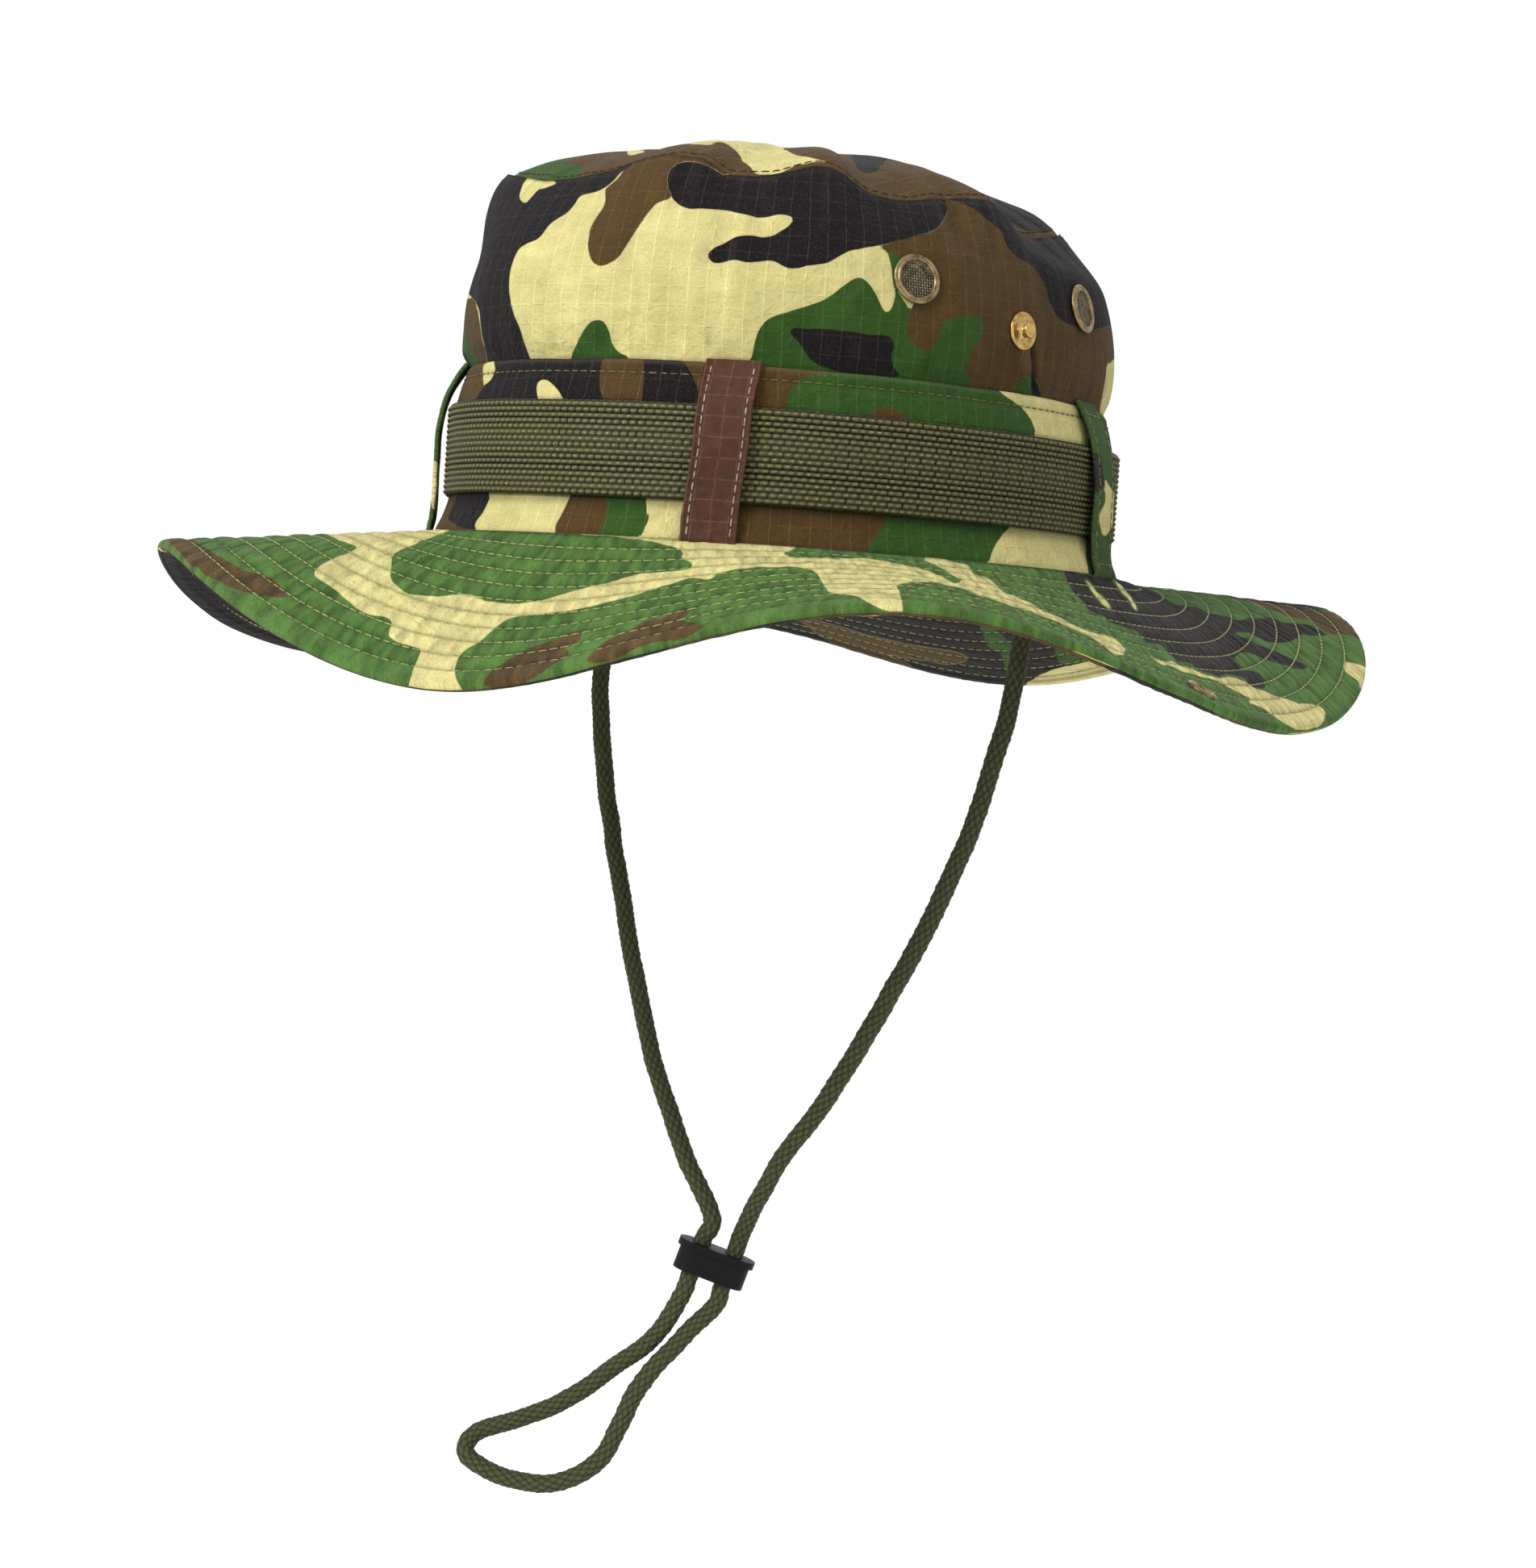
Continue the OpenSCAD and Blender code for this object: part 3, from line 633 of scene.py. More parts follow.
WALL_PRINT = ["t",
    ("n", [(1170, 248), (1174, 262), (1170, 272), (1162, 283), (1152, 288), (1138, 291), (1122, 297), (1108, 300), (1092, 304), (1084, 306),
           (1095, 309), (1102, 312), (1116, 320), (1140, 345), (1134, 375), (1127, 388), (1127, 398), (1124, 408), (1126, 418), (1137, 430),
           (1146, 434), (1155, 431), (1162, 422), (1168, 408), (1178, 395), (1205, 391), (1218, 400), (1218, 414), (1206, 434), (1200, 460),
           (1201, 500), (1290, 540), (1420, 540), (1420, 220), (1200, 225)]),
    ("g", [(931, 460), (933, 440), (936, 424), (941, 409), (949, 397), (960, 391), (976, 387), (992, 382), (1007, 377), (1021, 371), (1035, 363),
           (1046, 354), (1056, 347), (1065, 344), (1073, 348), (1080, 355), (1086, 365), (1090, 375), (1094, 383), (1099, 386), (1104, 383),
           (1108, 375), (1111, 364), (1118, 368), (1124, 378), (1128, 388), (1126, 400), (1124, 412), (1130, 424), (1138, 431), (1147, 434),
           (1155, 431), (1162, 422), (1166, 410), (1170, 400), (1178, 395), (1190, 392), (1205, 391), (1214, 393), (1219, 402), (1218, 414),
           (1212, 425), (1205, 435), (1201, 448), (1200, 465), (1202, 500), (1100, 500), (1000, 490)]),
    ("g", [(1101, 311), (1110, 316), (1120, 321), (1113, 334), (1112, 355), (1117, 368), (1111, 366), (1107, 352), (1105, 332)]),
    ("k", [(1168, 244), (1195, 240), (1222, 245), (1240, 250), (1262, 270), (1290, 285), (1320, 280), (1352, 310), (1380, 360), (1384, 400),
           (1374, 404), (1358, 408), (1344, 407), (1330, 403), (1318, 398), (1309, 390), (1302, 375), (1297, 360), (1290, 345), (1282, 332),
           (1271, 324), (1258, 317), (1249, 307), (1245, 298), (1240, 287), (1229, 277), (1217, 267), (1204, 257), (1190, 251)]),
    ("k", [(826, 235), (825, 222), (829, 210), (837, 203), (851, 201), (865, 202), (878, 206), (890, 214), (905, 216), (925, 195), (1000, 180),
           (1060, 205), (1100, 230), (1165, 235), (1171, 250), (1174, 262), (1170, 272), (1162, 283), (1152, 288), (1140, 291), (1125, 297),
           (1110, 300), (1095, 303), (1080, 306), (1067, 308), (1054, 311), (1044, 316), (1035, 321), (1025, 326), (1010, 328), (1000, 330),
           (990, 333), (980, 334), (970, 330), (961, 325), (953, 323), (940, 324), (925, 325), (910, 322), (896, 325), (886, 325), (879, 319),
           (879, 313), (886, 307), (898, 301), (911, 294), (922, 292), (932, 292), (945, 294), (958, 292), (968, 287), (977, 281), (984, 273), (978, 268),
           (966, 267), (955, 269), (941, 270), (928, 267), (915, 264), (905, 262), (890, 261), (870, 259), (855, 259), (843, 255), (834, 247)]),
    ("n", [(790, 185), (779, 203), (768, 219), (758, 228), (751, 235), (751, 247), (748, 257), (741, 267), (735, 276), (731, 286), (729, 300),
           (730, 314), (734, 324), (742, 329), (751, 328), (761, 323), (770, 315), (776, 305), (782, 295), (788, 285), (796, 275), (804, 264),
           (812, 254), (822, 249), (832, 244), (828, 234), (827, 220), (832, 208), (845, 201), (866, 202), (884, 210), (900, 217), (910, 190), (860, 170)]),
    ("k", [(782, 200), (770, 214), (760, 225), (748, 234), (735, 239), (720, 243), (714, 252), (706, 262), (698, 268), (690, 272), (680, 280),
           (672, 291), (664, 298), (650, 303), (642, 311), (637, 321), (633, 335), (631, 350), (632, 366), (636, 384), (643, 405), (650, 425),
           (656, 440), (660, 470), (604, 470), (601, 435), (597, 410), (592, 380), (570, 340), (570, 250), (620, 200), (700, 190)]),
    ("t", [(657, 210), (664, 219), (676, 222), (689, 226), (682, 231), (669, 235), (660, 243), (652, 251), (646, 248), (644, 240), (648, 229), (653, 222)]),
    ("g", [(704, 470), (708, 444), (714, 430), (719, 418), (724, 408), (731, 400), (739, 397), (747, 399), (752, 405), (756, 414), (758, 425),
           (763, 433), (770, 438), (778, 443), (780, 465)]),
    ("k", [(980, 407), (995, 407), (1020, 408), (1040, 409), (1060, 411), (1080, 415), (1097, 416), (1105, 420), (1108, 430), (1105, 440),
           (1106, 450), (1112, 460), (1117, 467), (1095, 467), (1065, 464), (1045, 462), (1030, 458), (1015, 453), (1005, 446), (998, 436),
           (990, 424), (982, 415)]),
    ("n", [(585, 370), (591, 382), (595, 400), (599, 425), (603, 452), (590, 470), (560, 450), (560, 380)]),
    ("g", [(574, 408), (580, 420), (586, 436), (592, 455), (560, 480), (555, 410)]),
    ("k", [(560, 425), (572, 433), (580, 446), (584, 462), (555, 475)]),
    ("k", [(1277, 458), (1283, 470), (1290, 494), (1278, 496), (1277, 474)]),
    ("g", [(1260, 478), (1268, 470), (1276, 466), (1278, 480), (1277, 500), (1256, 498)]),
    ("t", [(1375, 450), (1371, 466), (1367, 490), (1363, 515), (1358, 560), (1400, 560), (1400, 450)]),
]
TIP_PRINT = ["n",
    ("t", [(780, 193), (800, 185), (825, 180), (850, 177), (875, 177), (895, 175), (905, 176), (905, 150), (780, 150)]),
    ("g", [(655, 222), (668, 218), (684, 210), (700, 206), (716, 206), (724, 211), (716, 220), (708, 227), (698, 231), (688, 228), (676, 223),
           (660, 226), (640, 230), (650, 190), (720, 190)]),
    ("t", [(902, 174), (910, 182), (916, 190), (922, 199), (930, 207), (938, 216), (958, 216), (980, 209), (1000, 205), (1022, 203), (1000, 199),
           (985, 192), (974, 184), (962, 176), (955, 160), (900, 160)]),
    ("k", [(1050, 178), (1056, 192), (1060, 204), (1066, 212), (1076, 216), (1086, 213), (1093, 205), (1098, 197), (1102, 186), (1090, 165)]),
    ("k", [(1222, 226), (1226, 238), (1236, 252), (1250, 268), (1260, 280), (1275, 285), (1290, 287), (1305, 285), (1330, 270), (1280, 225)]),
]
BAND_PRINT = ["n",
    ("t", [(600, 452), (616, 448), (613, 465), (608, 472), (600, 479), (598, 466)]),
    ("k", [(616, 440), (660, 435), (744, 432), (745, 455), (743, 480), (744, 530), (585, 530), (597, 482), (608, 472), (614, 460)]),
    ("t", [(665, 480), (668, 473), (675, 471), (683, 474), (692, 484), (700, 496), (706, 512), (690, 514), (676, 504), (667, 493)]),
    ("k", [(800, 430), (835, 438), (852, 456), (862, 473), (866, 490), (862, 530), (800, 530), (798, 470)]),
    ("g", [(974, 540), (975, 500), (982, 483), (991, 472), (1005, 466), (1030, 463), (1080, 465), (1150, 473), (1200, 480), (1238, 486),
           (1256, 500), (1268, 510), (1277, 521), (1282, 535), (1285, 560), (1100, 560)]),
    ("n", [(1076, 520), (1082, 510), (1092, 506), (1106, 507), (1118, 511), (1128, 519), (1130, 540), (1080, 540)]),
    ("t", [(1236, 480), (1246, 492), (1257, 500), (1268, 510), (1277, 521), (1282, 535), (1286, 565), (1352, 575), (1352, 520), (1349, 508),
           (1320, 494), (1280, 484)]),
    ("k", [(572, 590), (612, 606), (606, 620), (598, 636), (590, 656), (556, 645), (562, 625), (568, 610)]),
    ("t", [(612, 600), (702, 606), (697, 634), (689, 650), (682, 672), (640, 672), (590, 656), (599, 634), (607, 618)]),
    ("g", [(754, 606), (808, 606), (804, 640), (796, 656), (789, 680), (742, 676), (747, 650), (754, 632)]),
    ("t", [(806, 606), (850, 606), (843, 640), (838, 690), (788, 680), (797, 656), (802, 640)]),
    ("g", [(1105, 610), (1098, 640), (1092, 655), (1084, 666), (1076, 680), (1080, 700), (1230, 716), (1226, 692), (1232, 675), (1241, 662),
           (1252, 650), (1262, 610)]),
    ("t", [(1262, 610), (1253, 648), (1242, 662), (1233, 674), (1227, 690), (1226, 712), (1290, 725), (1350, 740), (1352, 700), (1350, 610)]),
    ("g", [(1356, 500), (1352, 740), (1420, 740), (1420, 500)]),
]
BRIM_PRINT = ["g",
    ("t", [(255, 600), (262, 652), (285, 654), (310, 657), (330, 660), (350, 659), (372, 658), (398, 660), (420, 669), (436, 675), (443, 680),
           (430, 686), (415, 692), (400, 700), (391, 708), (393, 716), (405, 724), (420, 735), (434, 747), (446, 756), (462, 762), (478, 764),
           (485, 770), (484, 780), (483, 789), (492, 796), (507, 800), (520, 804), (520, 812), (515, 825), (510, 838), (508, 870), (574, 870),
           (564, 838), (565, 825), (570, 813), (578, 805), (592, 798), (602, 790), (612, 780), (625, 770), (640, 765), (665, 762), (690, 760),
           (710, 756), (735, 751), (775, 741), (800, 733), (830, 725), (855, 716), (890, 707), (890, 600)]),
    ("t", [(860, 640), (930, 640), (985, 655), (988, 674), (984, 681), (972, 687), (990, 691), (1030, 692), (1075, 693), (1105, 697), (1130, 703),
           (1150, 709), (1168, 716), (1184, 723), (1192, 719), (1180, 712), (1165, 703), (1146, 693), (1165, 693), (1185, 698), (1200, 702),
           (1207, 711), (1222, 715), (1232, 722), (1242, 732), (1256, 738), (1268, 743), (1280, 749), (1293, 759), (1275, 757), (1250, 750),
           (1230, 743), (1212, 738), (1195, 730), (1175, 727), (1158, 722), (1140, 722), (1122, 722), (1112, 727), (1116, 738), (1118, 760), (1085, 752),
           (1060, 738), (1035, 736), (1025, 731), (1020, 722), (1013, 712), (1000, 705), (975, 702), (915, 705), (870, 713), (858, 690)]),
    ("g", [(485, 702), (486, 691), (495, 683), (510, 676), (530, 668), (550, 660), (570, 655), (592, 650), (620, 650), (660, 655), (700, 660),
           (760, 665), (800, 670), (835, 678), (846, 684), (846, 692), (858, 700), (850, 706), (820, 709), (790, 713), (760, 720), (735, 727),
           (700, 735), (680, 742), (655, 747), (630, 748), (610, 747), (595, 742), (585, 737), (565, 737), (540, 739), (525, 739), (505, 735),
           (490, 725), (484, 713)]),
    ("g", [(474, 648), (484, 643), (500, 640), (530, 638), (546, 639), (522, 643), (500, 646), (485, 649)]),
    ("n", [(208, 660), (225, 663), (242, 672), (260, 682), (276, 692), (300, 706), (330, 714), (346, 725), (356, 740), (332, 739), (310, 736),
           (288, 729), (268, 720), (248, 708), (233, 696), (221, 683), (211, 672)]),
    ("n", [(600, 850), (610, 832), (625, 822), (640, 812), (655, 805), (672, 798), (690, 793), (705, 785), (721, 784), (716, 796), (700, 802),
           (706, 810), (690, 822), (668, 836), (640, 850)]),
    ("n", [(728, 822), (738, 806), (750, 796), (762, 790), (775, 785), (785, 778), (800, 770), (815, 768), (830, 762), (851, 754), (853, 762),
           (842, 768), (856, 772), (872, 775), (850, 790), (800, 800), (760, 818)]),
    ("k", [(1318, 700), (1338, 712), (1400, 718), (1412, 727), (1428, 733), (1440, 740), (1455, 748), (1470, 752), (1482, 753), (1492, 757),
           (1500, 762), (1520, 763), (1533, 769), (1545, 767), (1560, 766), (1580, 767), (1590, 771), (1605, 771), (1620, 773), (1632, 779),
           (1643, 786), (1640, 789), (1625, 788), (1612, 787), (1605, 793), (1590, 797), (1575, 797), (1562, 792), (1548, 785), (1535, 783),
           (1530, 786), (1545, 792), (1560, 800), (1578, 806), (1590, 813), (1605, 819), (1621, 826), (1610, 830), (1590, 824), (1570, 817),
           (1555, 812), (1545, 809), (1535, 810), (1530, 817), (1535, 822), (1541, 832), (1550, 832), (1560, 835), (1567, 842), (1569, 850),
           (1565, 854), (1552, 850), (1544, 842), (1536, 838), (1524, 836), (1510, 838), (1495, 834), (1485, 830), (1478, 824), (1462, 820),
           (1455, 815), (1448, 807), (1440, 800), (1430, 797), (1421, 796), (1415, 788), (1405, 782), (1395, 778), (1385, 774), (1375, 772),
           (1370, 765), (1358, 760), (1350, 756), (1345, 748), (1335, 738), (1327, 728)]),
    ("t", [(1343, 718), (1352, 722), (1358, 730), (1366, 737), (1374, 746), (1379, 756), (1374, 755), (1362, 745), (1353, 735)]),
    ("t", [(1378, 716), (1390, 724), (1398, 734), (1405, 744), (1411, 757), (1405, 756), (1398, 745), (1390, 737), (1384, 727)]),
    ("n", [(1500, 727), (1530, 728), (1560, 732), (1600, 735), (1650, 740), (1690, 760), (1715, 790), (1700, 801), (1680, 791), (1665, 785),
           (1650, 786), (1640, 782), (1625, 773), (1610, 768), (1600, 765), (1590, 758), (1575, 752), (1560, 745), (1545, 742), (1530, 738),
           (1515, 733)]),
    ("t", [(1590, 736), (1610, 735), (1635, 736), (1655, 742), (1670, 752), (1680, 766), (1668, 761), (1655, 757), (1640, 756), (1625, 750), (1607, 746)]),
    ("t", [(1665, 824), (1671, 822), (1682, 824), (1692, 828), (1700, 838), (1694, 850), (1687, 854), (1684, 845), (1675, 838), (1668, 833)]),
    ("t", [(1270, 744), (1290, 757), (1305, 762), (1320, 769), (1340, 780), (1360, 786), (1375, 789), (1385, 795), (1394, 803), (1393, 811),
           (1384, 811), (1372, 803), (1358, 793), (1345, 786), (1325, 778), (1305, 769), (1290, 763), (1275, 756)]),
    ("t", [(1424, 811), (1440, 820), (1452, 819), (1462, 825), (1480, 830), (1497, 837), (1515, 840), (1530, 840), (1545, 846), (1562, 855),
           (1580, 863), (1597, 867), (1612, 872), (1630, 874), (1640, 880), (1643, 888), (1636, 900), (1612, 905), (1590, 896), (1574, 884),
           (1562, 876), (1550, 872), (1549, 866), (1540, 860), (1525, 852), (1505, 843), (1485, 838), (1465, 832), (1452, 826), (1440, 824)]),
]
UNDER_PRINT = ["k",
    ("n", [(985, 762), (1010, 768), (1045, 778), (1080, 788), (1120, 798), (1170, 806), (1200, 815), (1180, 824), (1140, 818), (1100, 812),
           (1130, 826), (1100, 830), (1060, 812), (1020, 790)]),
    ("t", [(1025, 752), (1050, 750), (1075, 755), (1095, 760), (1080, 764), (1055, 762), (1035, 758)]),
    ("g", [(1216, 776), (1232, 778), (1245, 790), (1256, 802), (1266, 812), (1270, 850), (1252, 845), (1246, 825), (1240, 810), (1226, 802)]),
    ("g", [(1308, 792), (1330, 800), (1355, 810), (1385, 822), (1340, 822), (1312, 820)]),
    ("t", [(1270, 850), (1288, 838), (1305, 830), (1330, 823), (1360, 819), (1400, 818), (1380, 835), (1320, 850)]),
]


def painted(uv, ops):
    """(green, brown, black) signed distances in mm for a list of shapes laid one over another."""
    n = len(uv)
    f = {c: np.full(n, 7.0 if c == ops[0] else -7.0) for c in "gnk"}
    for colour, pts in ops[1:]:
        d = inside_by(uv, pts) / 4.2
        if colour in f:
            f[colour] = np.maximum(f[colour], d)
        for over in {"t": "gnk", "g": "nk", "n": "k", "k": ""}[colour]:
            f[over] = np.minimum(f[over], -d)
    return [np.clip(f[c], -7, 7) for c in "gnk"]


def free_print(p, seed):
    """The same kind of print where no shape is laid out: warped blobs, 30 to 90 mm."""
    p = np.asarray(p, float)
    q = p * [1, 1, 1.5]
    w = np.stack([fbm(q / 46 + 7 * k, seed + 11 * k, 2) for k in range(3)], -1) * 26
    q = q + w
    out = []
    for k, (size, level) in enumerate(((54, -0.03), (44, 0.16), (40, 0.20))):
        out.append(np.clip((fbm(q / size + 31 * k, seed + 57 * k, 2, 0.35) - level) * size * 0.8, -7, 7))
    return out


def print_attrs(p, ops, mask, seed):
    """Print fields at points p (mm). mask is 1 where the laid-out shapes hold."""
    uv = to_view(p)
    uv = uv + np.stack([fbm(p / 5.0, 5, 2), fbm(p / 5.0 + 9, 6, 2)], -1) * 1.6
    a = painted(uv, ops)
    b = free_print(p, seed)
    mask = np.asarray(mask)
    return {k: x * mask + y * (1 - mask) for k, x, y in zip(("f_green", "f_brown", "f_black"), a, b)}


VIEW_AZ = math.atan2(-math.cos(AZ), math.sin(AZ))


def off_axis(t):
    """Angle between the outward direction and the direction to the camera, degrees, signed."""
    return np.degrees((out_az(t) - VIEW_AZ + pi) % (2 * pi) - pi)


def catmull(points, step):
    """Dense points on a smooth curve through points, about step apart; also the arc length."""
    p = np.array(points, float)
    out = []
    n = len(p)
    for i in range(n - 1):
        a, b, c, d = p[max(i - 1, 0)], p[i], p[i + 1], p[min(i + 2, n - 1)]
        k = 24
        for j in range(k):
            u = j / k
            out.append(0.5 * ((2 * b) + (c - a) * u + (2 * a - 5 * b + 4 * c - d) * u * u + (3 * b - a - 3 * c + d) * u ** 3))
    out.append(p[-1])
    out = np.array(out)
    s = np.concatenate([[0], np.cumsum(np.linalg.norm(np.diff(out, axis=0), axis=1))])
    m = int(round(s[-1] / step))
    u = np.linspace(0, s[-1], m + 1)
    return np.stack([np.interp(u, s, out[:, k]) for k in range(p.shape[1])], -1), u


def frames(p, side0):
    d = np.gradient(p, axis=0)
    d = normalise(d)
    s = np.zeros_like(p)
    v = np.array(side0, float)
    for i in range(len(p)):
        v = v - d[i] * (v @ d[i])
        v = v / np.linalg.norm(v)
        s[i] = v
    return d, s, np.cross(d, s)


def set_blend(ob, w):
    a = ob.data.attributes.get("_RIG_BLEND")
    if a is None:
        a = ob.data.attributes.new("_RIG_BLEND", "FLOAT", "POINT")
    a.data.foreach_set("value", np.asarray(w, np.float32))


# ------------------------------------------------------------------ materials
camo = camo_material("camo_cloth")
lining = plain_cloth("crown_lining", "#565238", "#434230", 0.7)
band_cloth = plain_cloth("sweatband_cloth", "#4a4f38", "#3c402e", 0.55)
thread = thread_material("light_thread", lin("#8f8a5c"), "#5f5a3a")
band_thread = thread_material("band_thread", lin("#6d6848"), "#47432c")
brim_thread = thread_material("brim_thread", lin("#93965f"), "#6b6c42")
dark_thread = thread_material("dark_thread", lin("#3a3424"), "#201c12")
loop_thread = thread_material("loop_thread", lin("#a39a8c"), "#6e6358")
webbing_mat = webbing_material("olive_webbing")
cord_mat = cord_material("braided_cord")
brass = brass_material("antique_brass", "#94805c", "#4d3d28", 0.36)
bright_brass = brass_material("worn_brass", "#c2a462", "#8a6c38", 0.22)
steel_mesh = brass_material("screen_mesh", "#7c7260", "#4a4234", 0.45)
plastic = plastic_material("black_plastic")
redbrown = tape_material("brown_tape_cloth")

# ------------------------------------------------------------------ chin cord
SLC, SAZ, STILT = np.array([-13, 5, -213.0]), rad(42), rad(17)
SX = np.array([math.cos(SAZ) * math.cos(STILT), math.sin(SAZ) * math.cos(STILT), -math.sin(STILT)])
SZ = np.array([math.cos(SAZ) * math.sin(STILT), math.sin(SAZ) * math.sin(STILT), math.cos(STILT)])
SY = np.array([-math.sin(SAZ), math.cos(SAZ), 0.0])


def slider_at(u, w, b):
    return list(SLC + u * SX + w * SY + b * SZ)


LEFT = [[83, 13, -6], [82.6, 13, -14], [79, 13, -40], [72, 13, -66], [61, 13, -92], [48, 12, -118], [34, 11, -142], [19, 10, -164], [6, 9, -182]]
RIGHT = [[-83, 13, -6], [-83.8, 13, -14], [-84, 13, -40], [-80, 13, -68], [-71, 12, -96], [-61, 10, -122], [-50, 8, -146], [-36, 5, -168], [-24, 3, -184]]
LOOP = [[-26, -3, -236], [-37, -10, -247], [-46, -17, -257], [-58, -26, -265], [-69, -34, -271], [-69, -38, -278], [-56, -32, -283],
        [-43, -25, -282], [-34, -17, -275], [-31, -12, -264], [-28, -8, -252], [-20, -1, -238]]
route = (LEFT + [slider_at(5.2, 0, b) for b in (13, 6.5, 0, -6.5, -12)] + LOOP[::-1]
         + [slider_at(-5.2, 0, b) for b in (-12, -6.5, 0, 6.5, 13)] + RIGHT[::-1])
path, sl = catmull(route, 0.5)
CORD_LEN = sl[-1]
# where the path meets the slider's middle
i_left = int(np.argmin(np.linalg.norm(path[: len(path) // 2] - slider_at(5.2, 0, 0), axis=1)))
i_right = len(path) // 2 + int(np.argmin(np.linalg.norm(path[len(path) // 2:] - slider_at(-5.2, 0, 0), axis=1)))
near_slider = np.minimum(np.abs(sl - sl[i_left]), np.abs(sl - sl[i_right]))
# a soft cord isn't quite straight: small wander, none at its ends and in the slider
free = ramp(near_slider, 8, 25) * ramp(sl, 2, 20) * ramp(CORD_LEN - sl, 2, 20)
wander = np.stack([noise1(sl / 17, 3), noise1(sl / 17 + 40, 4), noise1(sl / 17 + 80, 5)], -1) * 0.7
path = path + wander * free[:, None]
d, s1, s2 = frames(path, (0.3, 1, 0.2))
K = 36
th = np.linspace(0, 2 * pi, K, endpoint=False)
S, TH = np.meshgrid(sl, th, indexing="ij")
N_STR = 8
twist = 0.25 * noise1(sl / 60, 9)[:, None]
pp = N_STR * ((TH + twist) / (2 * pi)) + S / 3.7
qq = N_STR * ((TH + twist) / (2 * pi)) - S / 3.7
fp, fq = pp - np.floor(pp), qq - np.floor(qq)
top = (np.floor(pp) + np.floor(qq)) % 2 == 0
bumpa = np.sin(pi * fp) ** 0.55 * np.sin(pi * fq) ** 0.9
bumpb = np.sin(pi * fq) ** 0.55 * np.sin(pi * fp) ** 0.9
relief = np.where(top, bumpa, bumpb)
amp = 0.42 - 0.22 * (1 - ramp(near_slider, 5, 9))[:, None]
fuzz = vnoise(np.stack([S / 0.9, np.cos(TH) * 3, np.sin(TH) * 3], -1), 77) * 0.06 * ramp(near_slider, 5, 9)[:, None]
size_mod = 1 + 0.035 * noise1(sl / 11, 12)[:, None] * free[:, None]
R = 2.66 * size_mod + amp * (relief - 0.55) + fuzz
flat = 1 + 0.05 * np.cos(2 * TH + 0.04 * S) * free[:, None]
V = path[:, None] + (R * flat * np.cos(TH))[..., None] * s1[:, None] + (R * np.sin(TH))[..., None] * s2[:, None]
nr = len(path)
F = grid_faces(nr, K, wrap_v=True)
caps = [[0, k, (k + 1) % K, 0] for k in range(0)]
cloth_uv = np.stack([S, TH * 2.7], -1).reshape(-1, 2)
cord = make("chin_cord", V.reshape(-1, 3), F, cord_mat, {"relief": relief}, cloth_uv)
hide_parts("chin_cord_left", "chin_cord_right", "chin_cord_loop")
w_cord = np.zeros(nr)
w_cord[: i_left + 1] = ramp(sl[: i_left + 1], 6, sl[i_left] - 8)
mid = (sl[i_left] + sl[i_right]) / 2
seg = np.arange(i_left, i_right + 1)
u = np.abs(sl[seg] - mid) / ((sl[i_right] - sl[i_left]) / 2)
w_cord[seg] = ramp(u, 0.0, 0.88)
w_cord[i_right:] = ramp(CORD_LEN - sl[i_right:], 6, CORD_LEN - sl[i_right] - 8)
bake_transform(cord, "hat", "slider", start=(0.03, 0.012, -0.12), end=(-0.013, 0.005, -0.2))
set_blend(cord, np.repeat(w_cord, K))

# ------------------------------------------------------------------ crown wall and tip
WAVE = [(-180, 2), (-160, -1.5), (-145, 1), (-130, 3.9), (-118, 1.2), (-105, -1.9), (-94, -1.5), (-85.5, -0.1), (-78, 2.5), (-72, 4), (-64.5, 3.1),
        (-59, -1.2), (-52.5, -0.9), (-46, 1.5), (-41.5, 3.1), (-37.5, 2.2), (-32, -2.9), (-25.5, -4), (-16.5, -1.9), (-11, -0.6), (-5, 0), (0, -1.5),
        (4, -4.6), (8, -6.6), (14, -6.8), (21, -4.6), (35, -2), (50, 1.5), (66, -2.5), (80, 2.5), (95, -2), (112, 2), (130, -2.5), (146, 2), (162, -2), (180, 2)]
_wt = np.radians(np.arange(-180, 181, 1.0))
_w = np.interp(_wt, np.radians([a for a, _ in WAVE]), [b for _, b in WAVE])
_w = np.convolve(np.concatenate([_w[-5:-1], _w, _w[1:5]]), [0.1, 0.2, 0.4, 0.2, 0.1], "same")[4:-4]
VENTS = [(-24.5, 74.5), (15, 74.5), (165, 74.5), (204.5, 74.5)]
STUDS = [(-3, 64.7), (183, 64.7)]


def wrap_pi(t):
    return (np.asarray(t) + pi) % (2 * pi) - pi


def seam_wave(t):
    return np.interp(wrap_pi(t), _wt, _w)


